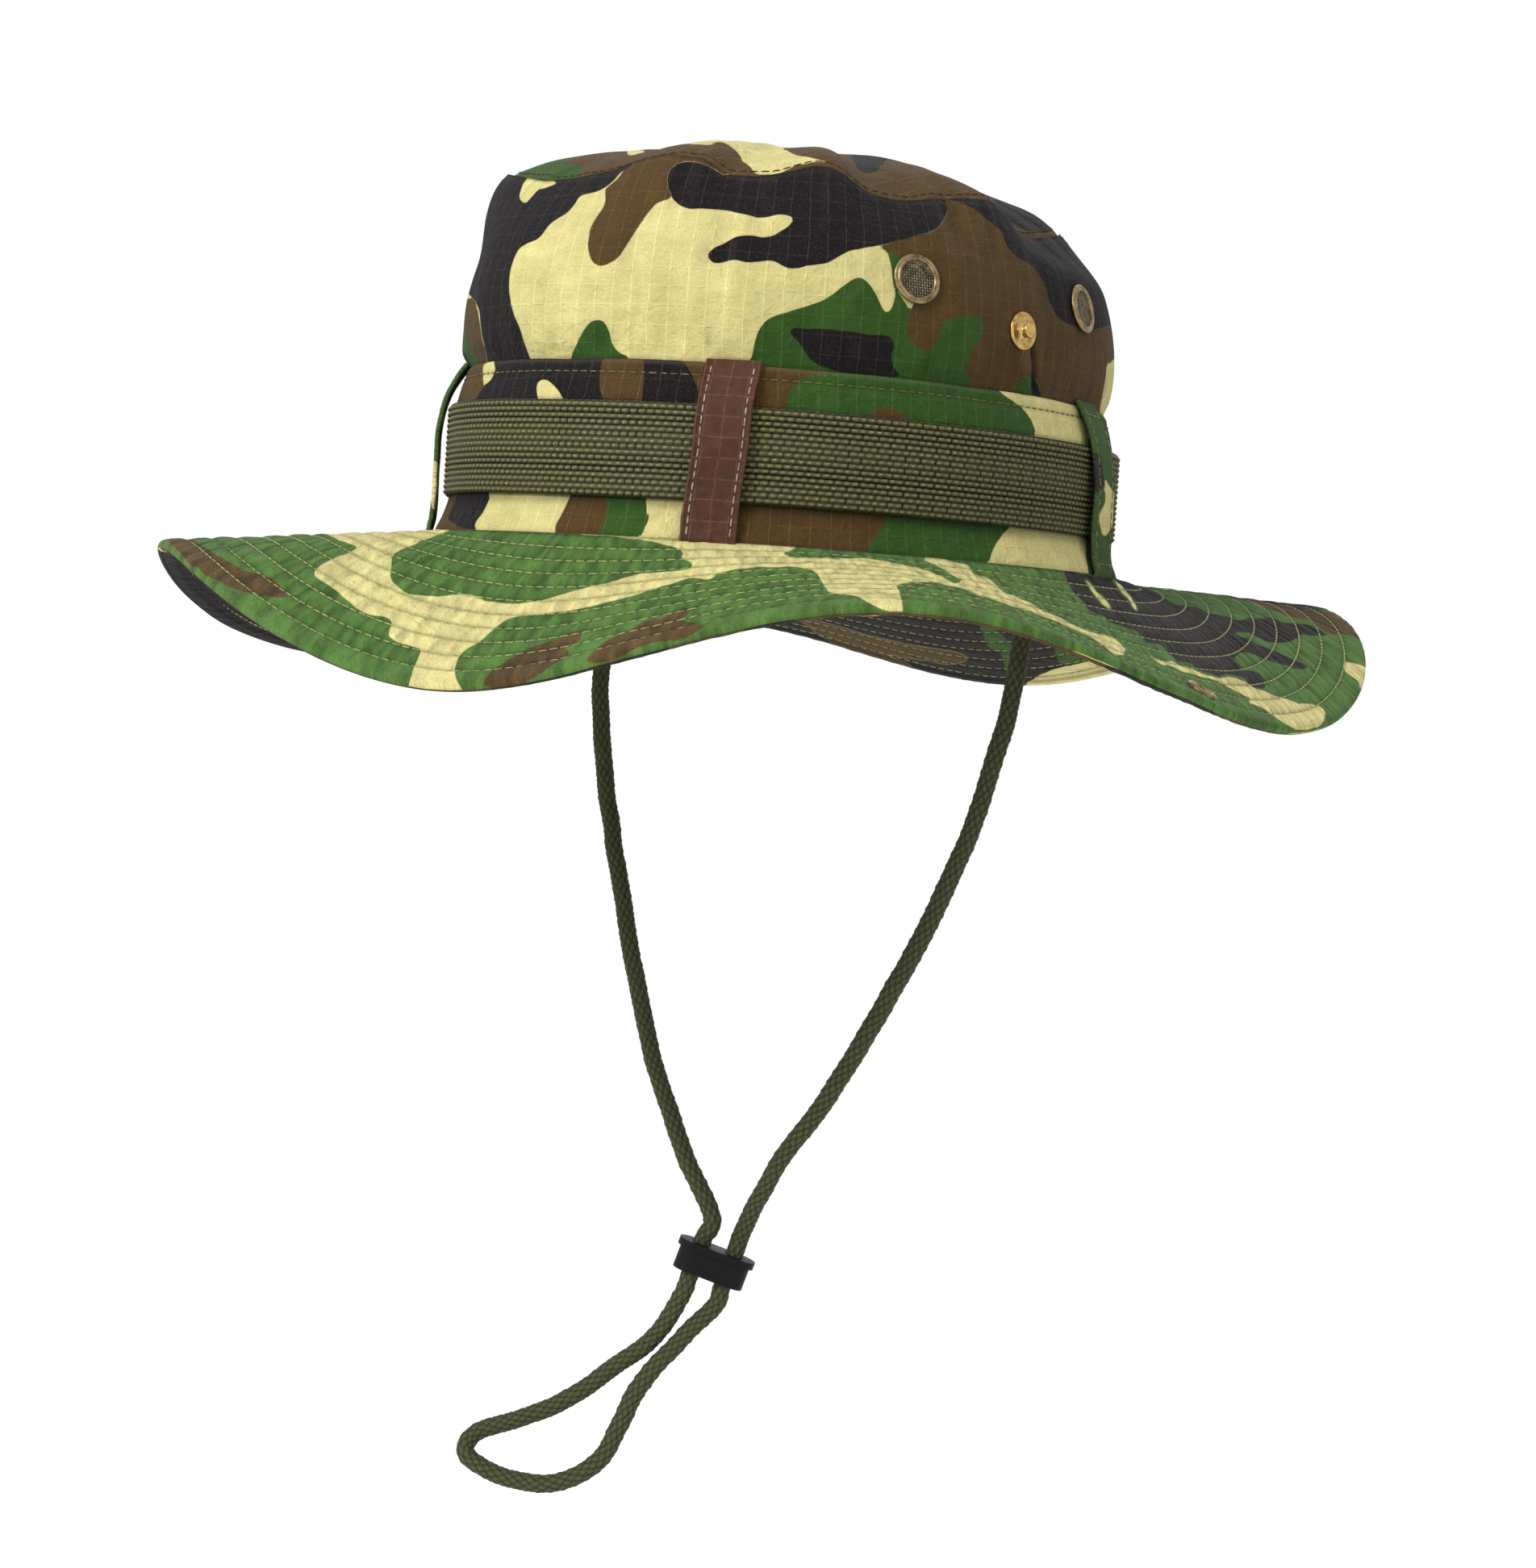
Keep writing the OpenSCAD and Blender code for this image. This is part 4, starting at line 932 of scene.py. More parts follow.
def bulge(t, z):
    """How far the cloth stands from the regular shape (mm of mean semi-axis)."""
    a = np.degrees(wrap_pi(t))
    near = lambda c, w: np.exp(-(((a - c + 180) % 360 - 180) / w) ** 2)
    out = 6.0 * ramp(z, 76, 99) * near(-131, 22) - 3.6 * ramp(z, 82, 100) * near(38, 26)
    out = out - 2.6 * ramp(z, 84, 99) * near(11, 8) + 1.2 * ramp(z, 86, 98) * near(-10, 8)
    out = out + 1.0 * ramp(60 - z, 0, 12) * near(-129, 14)
    # the small pleat that runs down from the left stud
    pl = a + 1.5 - (64 - z) * 0.22
    out = out + ramp(64 - z, 0, 5) * ramp(z, 46, 50) * (1.1 * np.exp(-((pl + 1.5) / 1.8) ** 2) - 1.5 * np.exp(-((pl - 0.7) / 1.1) ** 2))
    p = np.stack([98 * np.cos(t), 98 * np.sin(t), np.asarray(z) + 0 * t], -1)
    soft = fbm(p * [1 / 30, 1 / 30, 1 / 60], 21, 2) * 1.5
    # tucks that the two seams pull into the cloth
    low = fbm(np.stack([arc(t) / 7.5, z / 60 + 0 * t, 0 * t + 0.3], -1), 33, 2) * 0.75 * ramp(62 - z, 0, 16)
    high = fbm(np.stack([arc(t) / 9.0, z / 50 + 0 * t, 0 * t + 0.7], -1), 35, 2) * 0.9 * ramp(z, 80, 100)
    creases = -np.abs(fbm(p * [1 / 22, 1 / 22, 1 / 34] + 5, 41, 2)) * 1.1 + 0.25
    w = soft + low + high + creases
    hold = np.ones_like(w)
    for ct, cz in VENTS + STUDS:
        dx = (arc(t) - arc(rad(ct if ct <= 180 else ct - 360)) + 306.5) % 613 - 306.5
        hold = hold * (1 - np.exp(-((dx ** 2 + (z - cz) ** 2) / 150.0) ** 2))
    hold = hold * ramp(z, 47, 53)
    return out * ramp(z, 46, 52) + w * hold


def wall_point(t, v):
    """v 0 at the band seam, 1 at the top seam."""
    top = SEAM_Z + seam_wave(t)
    z = 44.5 + v * (top - 44.5)
    zz = z - seam_wave(t) * ramp(z, 80, 100)
    m = wall_m(np.minimum(zz, SEAM_Z)) + bulge(t, np.minimum(zz, SEAM_Z))
    roll = ramp(v, 0.965, 1.0)
    m = m - 0.7 * roll
    x, y = oval(m, t)
    return np.stack([x, y, z], -1)


def grid_normals(P, wrap_u=True, wrap_v=False):
    if wrap_u:
        du = np.roll(P, -1, 0) - np.roll(P, 1, 0)
    else:
        du = np.gradient(P, axis=0)
    dv = (np.roll(P, -1, 1) - np.roll(P, 1, 1)) if wrap_v else np.gradient(P, axis=1)
    return normalise(np.cross(du, dv))


def facing(P, Nn):
    """Cosine between the surface and the direction to the camera."""
    d = cam_at - P * 0.001
    return (normalise(d) * Nn).sum(-1)


def shell(name, P, mats, attrs, uv, thick, hole=None, blend_w=None):
    """A cloth shell from a wrapped lattice P (u round, v up): outside, inside and edges. mats: outside, inside."""
    nu, nv = P.shape[:2]
    Nn = grid_normals(P)
    Q = P - Nn * thick
    V = np.concatenate([P.reshape(-1, 3), Q.reshape(-1, 3)])
    F1 = grid_faces(nu, nv, wrap_u=True)
    F2 = F1[:, ::-1] + nu * nv
    iu = np.arange(nu)
    j = (iu + 1) % nu
    b0, b1 = iu * nv, j * nv
    t0, t1 = iu * nv + nv - 1, j * nv + nv - 1
    o = nu * nv
    E = np.concatenate([np.stack([b0 + o, b1 + o, b1, b0], -1), np.stack([t0, t1, t1 + o, t0 + o], -1)])
    if hole is not None:
        c = P.reshape(-1, 3)[F1].mean(1)
        keep = ~hole(c)
        F1, F2 = F1[keep], F2[keep]
    F = np.concatenate([F1, F2, E])
    mi = np.concatenate([np.zeros(len(F1)), np.ones(len(F2)), np.zeros(len(E))]).astype(int)
    at = {k: np.concatenate([np.ravel(v), np.ravel(v)]) for k, v in attrs.items()}
    return make(name, V, F, mats, at, np.concatenate([uv, uv]), mi), Nn


def wall_normal(t, z):
    e = 0.004
    p = lambda a, b: np.stack([*oval(wall_m(b), a), b + 0 * a], -1)
    n = np.cross(p(t + e, z) - p(t - e, z), p(t, z + 1.0) - p(t, z - 1.0))
    return normalise(n)


NU = 840
tt = np.linspace(-pi, pi, NU, endpoint=False)
vv = np.concatenate([np.linspace(0, 0.9, 46), np.linspace(0.9, 1, 13)[1:]])
T, VV = np.meshgrid(tt, vv, indexing="ij")
P = wall_point(T, VV)
Nn = grid_normals(P)
mask = ramp(facing(P, Nn), -0.10, 0.02)
attrs = print_attrs(P.reshape(-1, 3), WALL_PRINT, mask.ravel(), 301)
crease = bulge(T, np.minimum(P[..., 2], SEAM_Z))
lap = (np.roll(crease, 3, 0) + np.roll(crease, -3, 0)) / 2 - crease
# lighter on the crests of the creases and in a band just below the top seam
attrs["wear_and_highlight"] = np.clip(-lap * 1.2, 0, 0.5) * ramp(P[..., 2], 50, 56) + 0.18 * ramp(VV, 0.955, 0.985)
attrs["shade"] = np.clip(lap * 1.6, 0, 0.7) + 0.75 * ramp(VV, 0.985, 1.0) + 0.6 * (1 - ramp(P[..., 2], 47.3, 49.0))
vent_c = [np.array([*oval(wall_m(np.float64(z)), rad(t)), z]) for t, z in VENTS]


def in_vent(c):
    return np.min([np.linalg.norm(c - v, axis=1) for v in vent_c], axis=0) < 5.3


uv = np.stack([arc(T), P[..., 2] * 1.02], -1).reshape(-1, 2)
wall, _ = shell("crown_wall_cloth", P, [camo, lining], attrs, uv, 1.1, in_vent)
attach(wall, "hat"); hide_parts("crown_wall")

RISE = 17.0


def tip_point(t, r, rough=1.0):
    """r 1 at the seam, 0 at the middle."""
    zw = seam_wave(t)
    base = SEAM_Z + zw * r ** 2 - 0.5
    m0 = 80.9 + bulge(t, np.full_like(t, SEAM_Z))
    m = (m0 - 1.2) * r
    up_ = np.clip(1 - r ** 2.3, 0, 1) ** 0.76
    x, y = oval(m, t)
    soft = fbm(np.stack([x / 26, y / 26, 0 * x + 2.2], -1), 51, 3) * 1.5 * ramp(1 - r, 0.0, 0.1)
    tuck = fbm(np.stack([arc(t) / 8.0, 0 * t, 0 * t + 0.7], -1), 35, 2) * 0.9 * ramp(r, 0.8, 0.97)
    return np.stack([x, y, base + RISE * up_ + rough * (soft + tuck)], -1)


rr = np.sin(np.linspace(pi / 2, 0.02, 56)) ** 1.0
rr = np.concatenate([[1.0], 1 - np.linspace(0.0008, 0.03, 10) , rr[rr < 0.968]])
NT = 560
tt2 = np.linspace(-pi, pi, NT, endpoint=False)
T2, R2 = np.meshgrid(tt2, rr, indexing="ij")
P2 = tip_point(T2, R2)
P2[:, 0, 2] -= 0.9
N2 = grid_normals(P2)
P2s = tip_point(T2, R2, 0.0)
mask = ramp(facing(P2s, grid_normals(P2s)), -0.10, 0.02)
attrs = print_attrs(P2s.reshape(-1, 3), TIP_PRINT, mask.ravel(), 401)
attrs["wear_and_highlight"] = 0.2 * ramp(R2, 0.955, 0.985)
attrs["shade"] = 0.9 * ramp(R2, 0.992, 1.0)
tip, _ = shell("crown_tip_cloth", P2, [camo, lining], attrs, P2[..., :2].reshape(-1, 2), 1.0)
# the small opening left at the very middle is closed with a fan
n0 = len(tip.data.vertices)
bm_centre = P2[:, -1].mean(0) + [0, 0, 0.02]
fan = make("crown_tip_middle", np.concatenate([P2[:, -1], [bm_centre]]), [[i, (i + 1) % NT, NT] for i in range(NT)], camo,
           {k: np.full(NT + 1, float(np.mean(np.ravel(v).reshape(NT, -1)[:, -1]))) for k, v in attrs.items()},
           np.concatenate([P2[:, -1, :2], [bm_centre[:2]]]))
for o in (tip, fan):
    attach(o, "hat"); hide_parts("crown_tip")


def stitch_row(points, normals_, pitch=3.0, gap=0.6, width=0.5, height=0.45, closed=True):
    """Stitch capsules laid along a dense line of points."""
    p = np.asarray(points)
    if closed:
        p = np.concatenate([p, p[:1]])
        normals_ = np.concatenate([normals_, normals_[:1]])
    s = np.concatenate([[0], np.cumsum(np.linalg.norm(np.diff(p, axis=0), axis=1))])
    n = max(1, int(round(s[-1] / pitch)))
    c = (np.arange(n) + 0.5) * s[-1] / n
    at = lambda q: np.stack([np.interp(q, s, p[:, k]) for k in range(3)], -1)
    nn = normalise(np.stack([np.interp(c, s, normals_[:, k]) for k in range(3)], -1))
    L = s[-1] / n - gap
    a, b = at(c - L / 2), at(c + L / 2)
    d_ = normalise(b - a)
    return (a + b) / 2, d_, nn, L, width, height


def stitches(name, rows, mat):
    Vs, Fs, k = [], [], 0
    for r_ in rows:
        v, f = stitch_mesh(*r_)
        Vs.append(v); Fs.append(f + k); k += len(v)
    ob = make(name, np.concatenate(Vs), np.concatenate(Fs), mat)
    return ob


rows = []
q = tip_point(tt2, np.full(NT, 0.974))
nq = N2[:, int(np.argmin(abs(rr - 0.974)))]
rows.append(stitch_row(q + nq * 0.12, nq, 3.0, 0.7, 0.45, 0.4))
tip_st = stitches("crown_tip_stitching", rows, dark_thread)
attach(tip_st, "hat")

# ------------------------------------------------------------------ crown band
def band_point(t, z):
    m = band_m(z)
    a = arc(t)
    m = m + 0.35 * noise1(a / 23, 61) * ramp(z, 2, 12) + 0.3 * noise1(a / 9, 62) * ramp(z, 40, 47)
    flare = 1 - ramp(z, 0, 11)
    m = m + flare * (0.9 * noise1(a / 16, 63))
    x, y = oval(m, t)
    return np.stack([x, y, z + 0 * t + 0.5 * noise1(a / 31, 64) * ramp(z, 44, 47)], -1)


zz = np.concatenate([np.linspace(-1.0, 12, 18), np.linspace(12, 42, 24)[1:], np.linspace(42, BAND_Z + 0.4, 12)[1:]])
T3, Z3 = np.meshgrid(tt, zz, indexing="ij")
P3 = band_point(T3, Z3)
edge = ramp(Z3, BAND_Z - 0.9, BAND_Z + 0.4)
P3[..., :2] *= (1 - 0.006 * edge ** 2)[..., None]
groove = np.exp(-((Z3 - 44.2) / 0.7) ** 2)
P3[..., :2] *= (1 - 0.0028 * groove)[..., None]
N3 = grid_normals(P3)
mask = ramp(facing(P3, N3), -0.10, 0.02)
attrs = print_attrs(P3.reshape(-1, 3), BAND_PRINT, mask.ravel(), 501)
under_web = ramp(Z3, 9.5, 11) * (1 - ramp(Z3, 36, 37.5))
attrs["wear_and_highlight"] = 0.75 * np.exp(-((Z3 - BAND_Z + 0.2) / 0.5) ** 2) + 0.15 * groove
attrs["shade"] = 0.55 * np.exp(-((Z3 - 9.6) / 1.6) ** 2) + 0.5 * under_web + 0.65 * (1 - ramp(Z3, -1, 1.2)) + 0.25 * groove
band, _ = shell("crown_band_cloth", P3, [camo, lining], attrs, np.stack([arc(T3), Z3], -1).reshape(-1, 2), 1.0)
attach(band, "hat"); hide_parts("crown_band")
k44 = int(np.argmin(abs(zz - 44.2)))
band_st = stitches("band_stitching", [stitch_row(band_point(tt, np.full(NU, 44.2)) * [0.9978, 0.9978, 1] + N3[:, k44] * 0.1, N3[:, k44], 3.0, 0.8, 0.42, 0.4)], band_thread)
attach(band_st, "hat")

# ------------------------------------------------------------------ webbing, woven in relief
NW = 1240
tw = np.linspace(-pi, pi, NW, endpoint=False)
aw = arc(tw)
CIRC = arc(pi) - arc(-pi)
WZ, WW = 10.8, 25.4
prof_n = 74
sv = np.linspace(-1.3, WW + 1.3, prof_n)
TW, SV = np.meshgrid(tw, sv, indexing="ij")
AW = arc(TW)
cols = round(CIRC / 2.35)
px_ = AW / CIRC * cols
py_ = SV / 1.58
row = np.floor(py_)
fy = py_ - row
sh = px_ + 0.5 * (row % 2)
fx = sh - np.floor(sh)
over = np.sin(pi * fx) ** 0.7 * np.sin(pi * fy) ** 0.6
# warp threads showing between the floats
between = np.sin(pi * ((fx + 0.5) % 1)) ** 4 * 0.55
rel = np.clip(over + between * 0.6, 0, 1)
inside = ramp(SV, -0.2, 0.9) * (1 - ramp(SV, WW - 0.9, WW + 0.2))
rel_e = rel * (0.35 + 0.65 * inside)
off = 1.15 + (rel_e - 0.55) * 1.0
m_w = 97.55 + 0.45 * noise1(AW / 37, 71)
edge_in = np.clip((np.abs(SV - WW / 2) - WW / 2) / 1.3, 0, 1)
off = off - 1.25 * edge_in ** 2
zc = WZ + np.clip(SV, 0, WW) + np.where(SV < 0, -1, np.where(SV > WW, 1, 0)) * 0.15 * np.sin(edge_in * pi)
zc = zc + 0.35 * noise1(AW / 45, 72)
xw, yw = oval(m_w + off, TW)
PW = np.stack([xw, yw, zc], -1)
back_z = np.linspace(WZ + WW, WZ, 5)
TB, ZB = np.meshgrid(tw, back_z, indexing="ij")
xb_, yb_ = oval(97.45 + 0.45 * noise1(arc(TB) / 37, 71), TB)
PWB = np.stack([xb_, yb_, ZB + 0.35 * noise1(arc(TB) / 45, 72)], -1)
PWA = np.concatenate([PW, PWB], 1)
nvw = PWA.shape[1]
relA = np.concatenate([rel, np.full(TB.shape, 0.3)], 1)
shA = np.concatenate([(1 - inside) * 0.35, np.full(TB.shape, 0.6)], 1)
uvA = np.concatenate([np.stack([AW, SV], -1), np.stack([arc(TB), ZB], -1)], 1).reshape(-1, 2)
web = make("webbing", PWA.reshape(-1, 3), grid_faces(NW, nvw, wrap_u=True, wrap_v=True), webbing_mat, {"relief": relA, "shade": shA}, uvA)
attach(web, "hat"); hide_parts("webbing_band")

# ------------------------------------------------------------------ branch loops
def strap(name, t_deg, bow, node, cloth_mat, lean, ops, seed, th_mat, width=15.0, shift=0.0):
    t0 = rad(t_deg)
    a = out_az(t0)
    x0, y0 = oval(97.2, t0)
    out_d = np.array([math.cos(a), math.sin(a), 0]); side = np.array([-math.sin(a), math.cos(a), 0])
    pts = [[-3.0, 48.6], [-2.1, 47.2], [-0.4, 44.4], [1.6 + bow * .5, 40], [3.1 + bow * .8, 35], [3.8 + bow, 28], [3.9 + bow, 20],
           [3.8 + bow * .9, 12], [4.2 + bow * .5, 5], [5.0, 1.6], [5.3, 0.2], [4.6, -0.9]]
    c, s = catmull(pts, 0.5)
    n = len(c)
    dirv = np.gradient(c, axis=0); dirv /= np.linalg.norm(dirv, axis=1)[:, None]
    nor = np.stack([-dirv[:, 1], dirv[:, 0]], -1)
    nor = np.where(nor[:, :1] < 0, -nor, nor)
    # section: two folded edges, slightly thicker than the middle
    hw = width / 2
    ang = np.linspace(-pi / 2, pi / 2, 7)
    e = 0.72
    top = [(x, 0.62) for x in np.linspace(-hw + e, hw - e, 27)]
    right_e = [(hw - e + e * math.cos(q_), e * math.sin(q_)) for q_ in ang[::-1]]
    bot = [(x, -0.6) for x in np.linspace(hw - e, -hw + e, 13)]
    left_e = [(-hw + e - e * math.cos(q_), e * math.sin(q_)) for q_ in ang]
    sec = np.array(top + right_e + bot + left_e)
    k = len(sec)
    u_ = sec[:, 0]; h_ = sec[:, 1]
    fold = np.exp(-((np.abs(u_) - (hw - 2.0)) / 0.45) ** 2)
    h_ = h_ - 0.16 * fold * np.sign(h_)
    U, Sg = np.meshgrid(u_, s, indexing="xy")
    H = np.broadcast_to(h_, (n, k)).copy()
    wob = fbm(np.stack([Sg / 9, U / 9, 0 * U + seed], -1), seed, 2) * 0.35
    curl = 0.12 * (np.abs(U) / hw) ** 4 * noise1(Sg / 8, seed + 3) * 3
    H = H + wob + curl
    sway = shift + lean * (s / s[-1] - 0.5) + 0.5 * noise1(s / 14, seed + 9)
    pin = (1 + 0.02 * noise1(s / 11, seed + 4))
    base = np.array([x0, y0, 0.0])
    Pn = (base + c[:, 0][:, None, None] * out_d + c[:, 1][:, None, None] * np.array([0, 0, 1.0])
          + (H[..., None]) * (nor[:, 0][:, None, None] * out_d + nor[:, 1][:, None, None] * np.array([0, 0, 1.0]))
          + (U * pin[:, None] + sway[:, None])[..., None] * side)
    Pv = Pn.reshape(-1, 3)
    F_ = grid_faces(n, k, wrap_v=True)
    mid_ = np.array([Pn[0].mean(0), Pn[-1].mean(0)])
    Pv = np.concatenate([Pv, mid_])
    capf = [[i, (i + 1) % k, n * k, n * k] for i in range(k)] + [[(n - 1) * k + (i + 1) % k, (n - 1) * k + i, n * k + 1, n * k + 1] for i in range(k)]
    F_ = np.concatenate([F_, np.array(capf)])
    # lighter all over, a painted highlight for the loops' lit faces, and lighter still along the folded edges, where
    # they wear
    at = {"wear_and_highlight": np.concatenate([np.broadcast_to(0.45 + 0.5 * np.exp(-((np.abs(u_) - hw + 0.2) / 0.5) ** 2), (n, k)).ravel(), [0, 0]]),
          "shade": np.concatenate([np.broadcast_to(0.22 * fold, (n, k)).ravel(), [0, 0]])}
    if ops is not None:
        at.update(print_attrs(Pv, ops, np.full(len(Pv), 1.0 if seed < 400 else 0.0), seed))
    uvl = np.concatenate([np.stack([U, Sg], -1).reshape(-1, 2), [[0, 0], [0, 0]]])
    # faces fanned into caps are triangles written as quads with a repeated corner: split them out
    tri = [tuple(dict.fromkeys(f)) for f in F_.tolist() if len(set(f)) == 3]
    quad = F_[[len(set(f)) == 4 for f in F_.tolist()]]
    ob = make(name, Pv, quad, cloth_mat, at, uvl)
    rows_ = []
    for sgn in (-1, 1):
        j = int(np.argmin(np.abs(u_[:27] - sgn * (hw - 2.0))))
        line = Pn[:, j]
        nl = normalise(nor[:, 0][:, None] * out_d + nor[:, 1][:, None] * np.array([0, 0, 1.0]))
        rows_.append(stitch_row(line[4:-4] + nl[4:-4] * 0.12, nl[4:-4], 2.9, 0.7, 0.46, 0.42, closed=False))
    # bar tacks across both ends
    for i in (9, n - 9) if ops is not None else ():
        line = Pn[i, 3:24]
        nl = np.broadcast_to(normalise(nor[i, 0] * out_d + nor[i, 1] * np.array([0, 0, 1.0])), (21, 3))
        rows_.append(stitch_row(line + nl * 0.12, nl, 2.6, 0.7, 0.46, 0.42, closed=False))
    st = stitches(name + "_stitching", rows_, th_mat)
    for o in (ob, st):
        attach(o, "hat")
    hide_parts(node)
    return ob


LOOP_L = ["g", ("t", [(530, 575), (548, 580), (552, 620), (536, 630)])]
LOOP_R = ["g", ("t", [(1366, 590), (1374, 600), (1382, 615), (1382, 640), (1374, 660), (1366, 662), (1362, 640), (1370, 620)]),
          ("k", [(1358, 560), (1366, 575), (1368, 600), (1360, 610), (1350, 590)])]
strap("loop_strap_front_left", -54, 0, "loop_front_left", redbrown, -3.6, None, 3, loop_thread, shift=-1.3)
strap("loop_strap_front_right", -130, 0.3, "loop_front_right", camo, -1.5, LOOP_L, 7, thread)
strap("loop_strap_side_left", 20, 0.3, "loop_side_left", camo, 3.5, LOOP_R, 11, thread)
strap("loop_strap_side_right", 160, 0.3, "loop_side_right", camo, 1.0, ["g"], 420, thread)
strap("loop_strap_back", 90, 0, "loop_back", camo, -1.0, ["t"], 430, thread)

# ------------------------------------------------------------------ sweatband
sp = [[98.4, -2.2], [97.0, 1.0], [96.1, 4.0], [95.5, 8], [95.3, 12], [95.25, 20], [95.2, 26.6], [94.9, 27.1], [94.4, 27.1], [94.2, 26.6],
      [94.25, 20], [94.3, 12], [94.6, 8], [95.1, 4], [96.0, 1.0], [97.4, -2.2]]
spc, _ = catmull(sp, 0.8)
T5, J5 = np.meshgrid(tt2, np.arange(len(spc)), indexing="ij")
ms = spc[J5, 0]; zs = spc[J5, 1]
A5 = arc(T5)
ms = ms + 0.25 * noise1(A5 / 12, 81) - 0.1
xs_, ys_ = oval(ms, T5)
sweat = make("sweatband_cloth", np.stack([xs_, ys_, zs + 0.25 * noise1(A5 / 17, 82)], -1).reshape(-1, 3),
             grid_faces(NT, len(spc), wrap_u=True, wrap_v=True, flip=True), band_cloth, {"shade": 0 * zs}, np.stack([A5, zs], -1).reshape(-1, 2))
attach(sweat, "hat"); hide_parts("sweatband")
rows = []
for z_ in (24.6, 3.4):
    m_ = 94.22 if z_ > 10 else 95.2
    xx, yy = oval(np.full(NT, m_) + 0.25 * noise1(arc(tt2) / 12, 81) - 0.1, tt2)
    line = np.stack([xx, yy, np.full(NT, z_)], -1)
    nn_ = -normalise(np.stack([xx, yy, 0 * xx], -1))
    rows.append(stitch_row(line + nn_ * 0.1, nn_, 3.2, 0.8, 0.5, 0.45))
sw_st = stitches("sweatband_stitching", rows, thread)
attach(sw_st, "hat")

# ------------------------------------------------------------------ brim
ROW = 7.1
HEM_R = 1.5
ROWS = [ROW * k for k in range(1, 11)]


def quilt(t, s):
    """Height of the padded rows above the seams' level, mm."""
    k = np.floor(s / ROW)
    f = s / ROW - k
    a = arc(t) * (1 + s / 150.0)
    dome = np.sin(pi * f) ** 0.6
    pk = fbm(np.stack([a / 3.9 + f * 0.9, k * 3.7 + f * 0.5, 0 * a + 0.3], -1), 91, 2)
    pk2 = np.sin(2 * pi * (a / 5.2 + 0.75 * f + 0.9 * vnoise(np.stack([a / 16, k * 5.1, 0 * a], -1), 93)))
    h = 0.50 * (dome - 0.75) + (0.30 * pk + 0.15 * pk2) * np.sin(pi * f) ** 0.8
    last = ramp(s, 71.0, 71.8)
    hem = 0.24 * np.sin(pi * np.clip((s - 71) / 6, 0, 1)) ** 0.5 + 0.16 * pk + 0.10 * pk2
    return np.where(s > 71, h * (1 - last) + hem * last, h) * ramp(s, 0.2, 2)


def ripple(t, s):
    a = arc(t)
    return 0.55 * noise1(a / 19, 95) * ramp(s, 6, 70) + 0.5 * fbm(np.stack([a / 26, s / 22, 0 * a], -1), 97, 2) * ramp(s, 2, 20)


top_s = np.concatenate([[0.05], np.linspace(0.3, 71, 116)[0:], np.linspace(71, 76.4, 12)[1:]])
edge_a = np.linspace(0, pi, 12)[1:-1]
bot_s = np.concatenate([np.linspace(76.4, 73.4, 5), np.linspace(73.0, 0.3, 72)])
prof = ([(s_, 0.0, 0) for s_ in top_s] + [(76.4 + HEM_R * math.sin(q_), HEM_R * (1 - math.cos(q_)), 1) for q_ in edge_a]
        + [(s_, 2 * HEM_R if i < 5 else 2.72, 2) for i, s_ in enumerate(bot_s)])
prof = np.array(prof)
NP_ = len(prof)


def brim_surface(t):
    """t: n -> n x NP x 3 positions"""
    T_, J_ = np.meshgrid(t, np.arange(NP_), indexing="ij")
    s_ = prof[J_, 0]; dep = prof[J_, 1]; kind = prof[J_, 2]
    base = brim_point(T_, s_)
    nrm = brim_normal(T_, np.clip(s_, 1, 76))
    q_ = quilt(T_, np.clip(s_, 0, 76.4))
    lift = np.where(kind == 0, q_, np.where(kind == 2, -0.7 * np.roll(q_, 0, 1), 0))
    lift = np.where(kind == 1, quilt(T_, 0 * s_ + 76.2) * (1 - dep / (2 * HEM_R)) * 0.8, lift)
    lift = lift + ripple(T_, s_) * 0.8
    return base + nrm * (lift - dep)[..., None], T_, s_, kind


def fold_weight(P):
    """0 on the crown's side of the fold, 1 on the flap."""
    x, y = np.abs(P[..., 0]), np.abs(P[..., 1])
    f = ramp(y, 22, 125)
    xa = 95.7 + (85 - 95.7) * f
    xb = 102.5 + (121 - 102.5) * f
    w = smooth((x - xa) / (xb - xa))
    ax_ = np.arctan2(np.abs(P[..., 1]), np.abs(P[..., 0]))
    return w * (1 - ramp(np.degrees(ax_), 58, 66))


NB = 1200
tb = np.linspace(-pi, pi, NB, endpoint=False)
PB, TBm, SBm, KB = brim_surface(tb)
NBm = grid_normals(PB, wrap_u=True, wrap_v=False)
ref = brim_normal(TBm, np.clip(SBm, 1, 76))
sign = np.where(((NBm * ref).sum(-1) > 0)[:, 40:41], 1.0, -1.0)
NBm = NBm * sign.mean(0)
flip_faces = bool(sign.mean() < 0)
fc = facing(PB, NBm)
far = ramp(np.abs(off_axis(TBm)), 92, 118)
up_mask = (1 - far)
flat_p = PB.reshape(-1, 3)
ga = print_attrs(flat_p, BRIM_PRINT, up_mask.ravel(), 601)
# the far side's underside shows below the near edge
dn_mask = (ramp(np.abs(off_axis(TBm)), 70, 84)).ravel()
gb = print_attrs(flat_p, UNDER_PRINT, dn_mask, 702)
lower = (KB == 2).ravel() | ((KB == 1) & (prof[:, 1][None, :] > 2.1)).ravel()
brim_attrs = {}
for key in ga:
    brim_attrs[key] = np.where(lower, gb[key], ga[key]).reshape(PB.shape[:2])
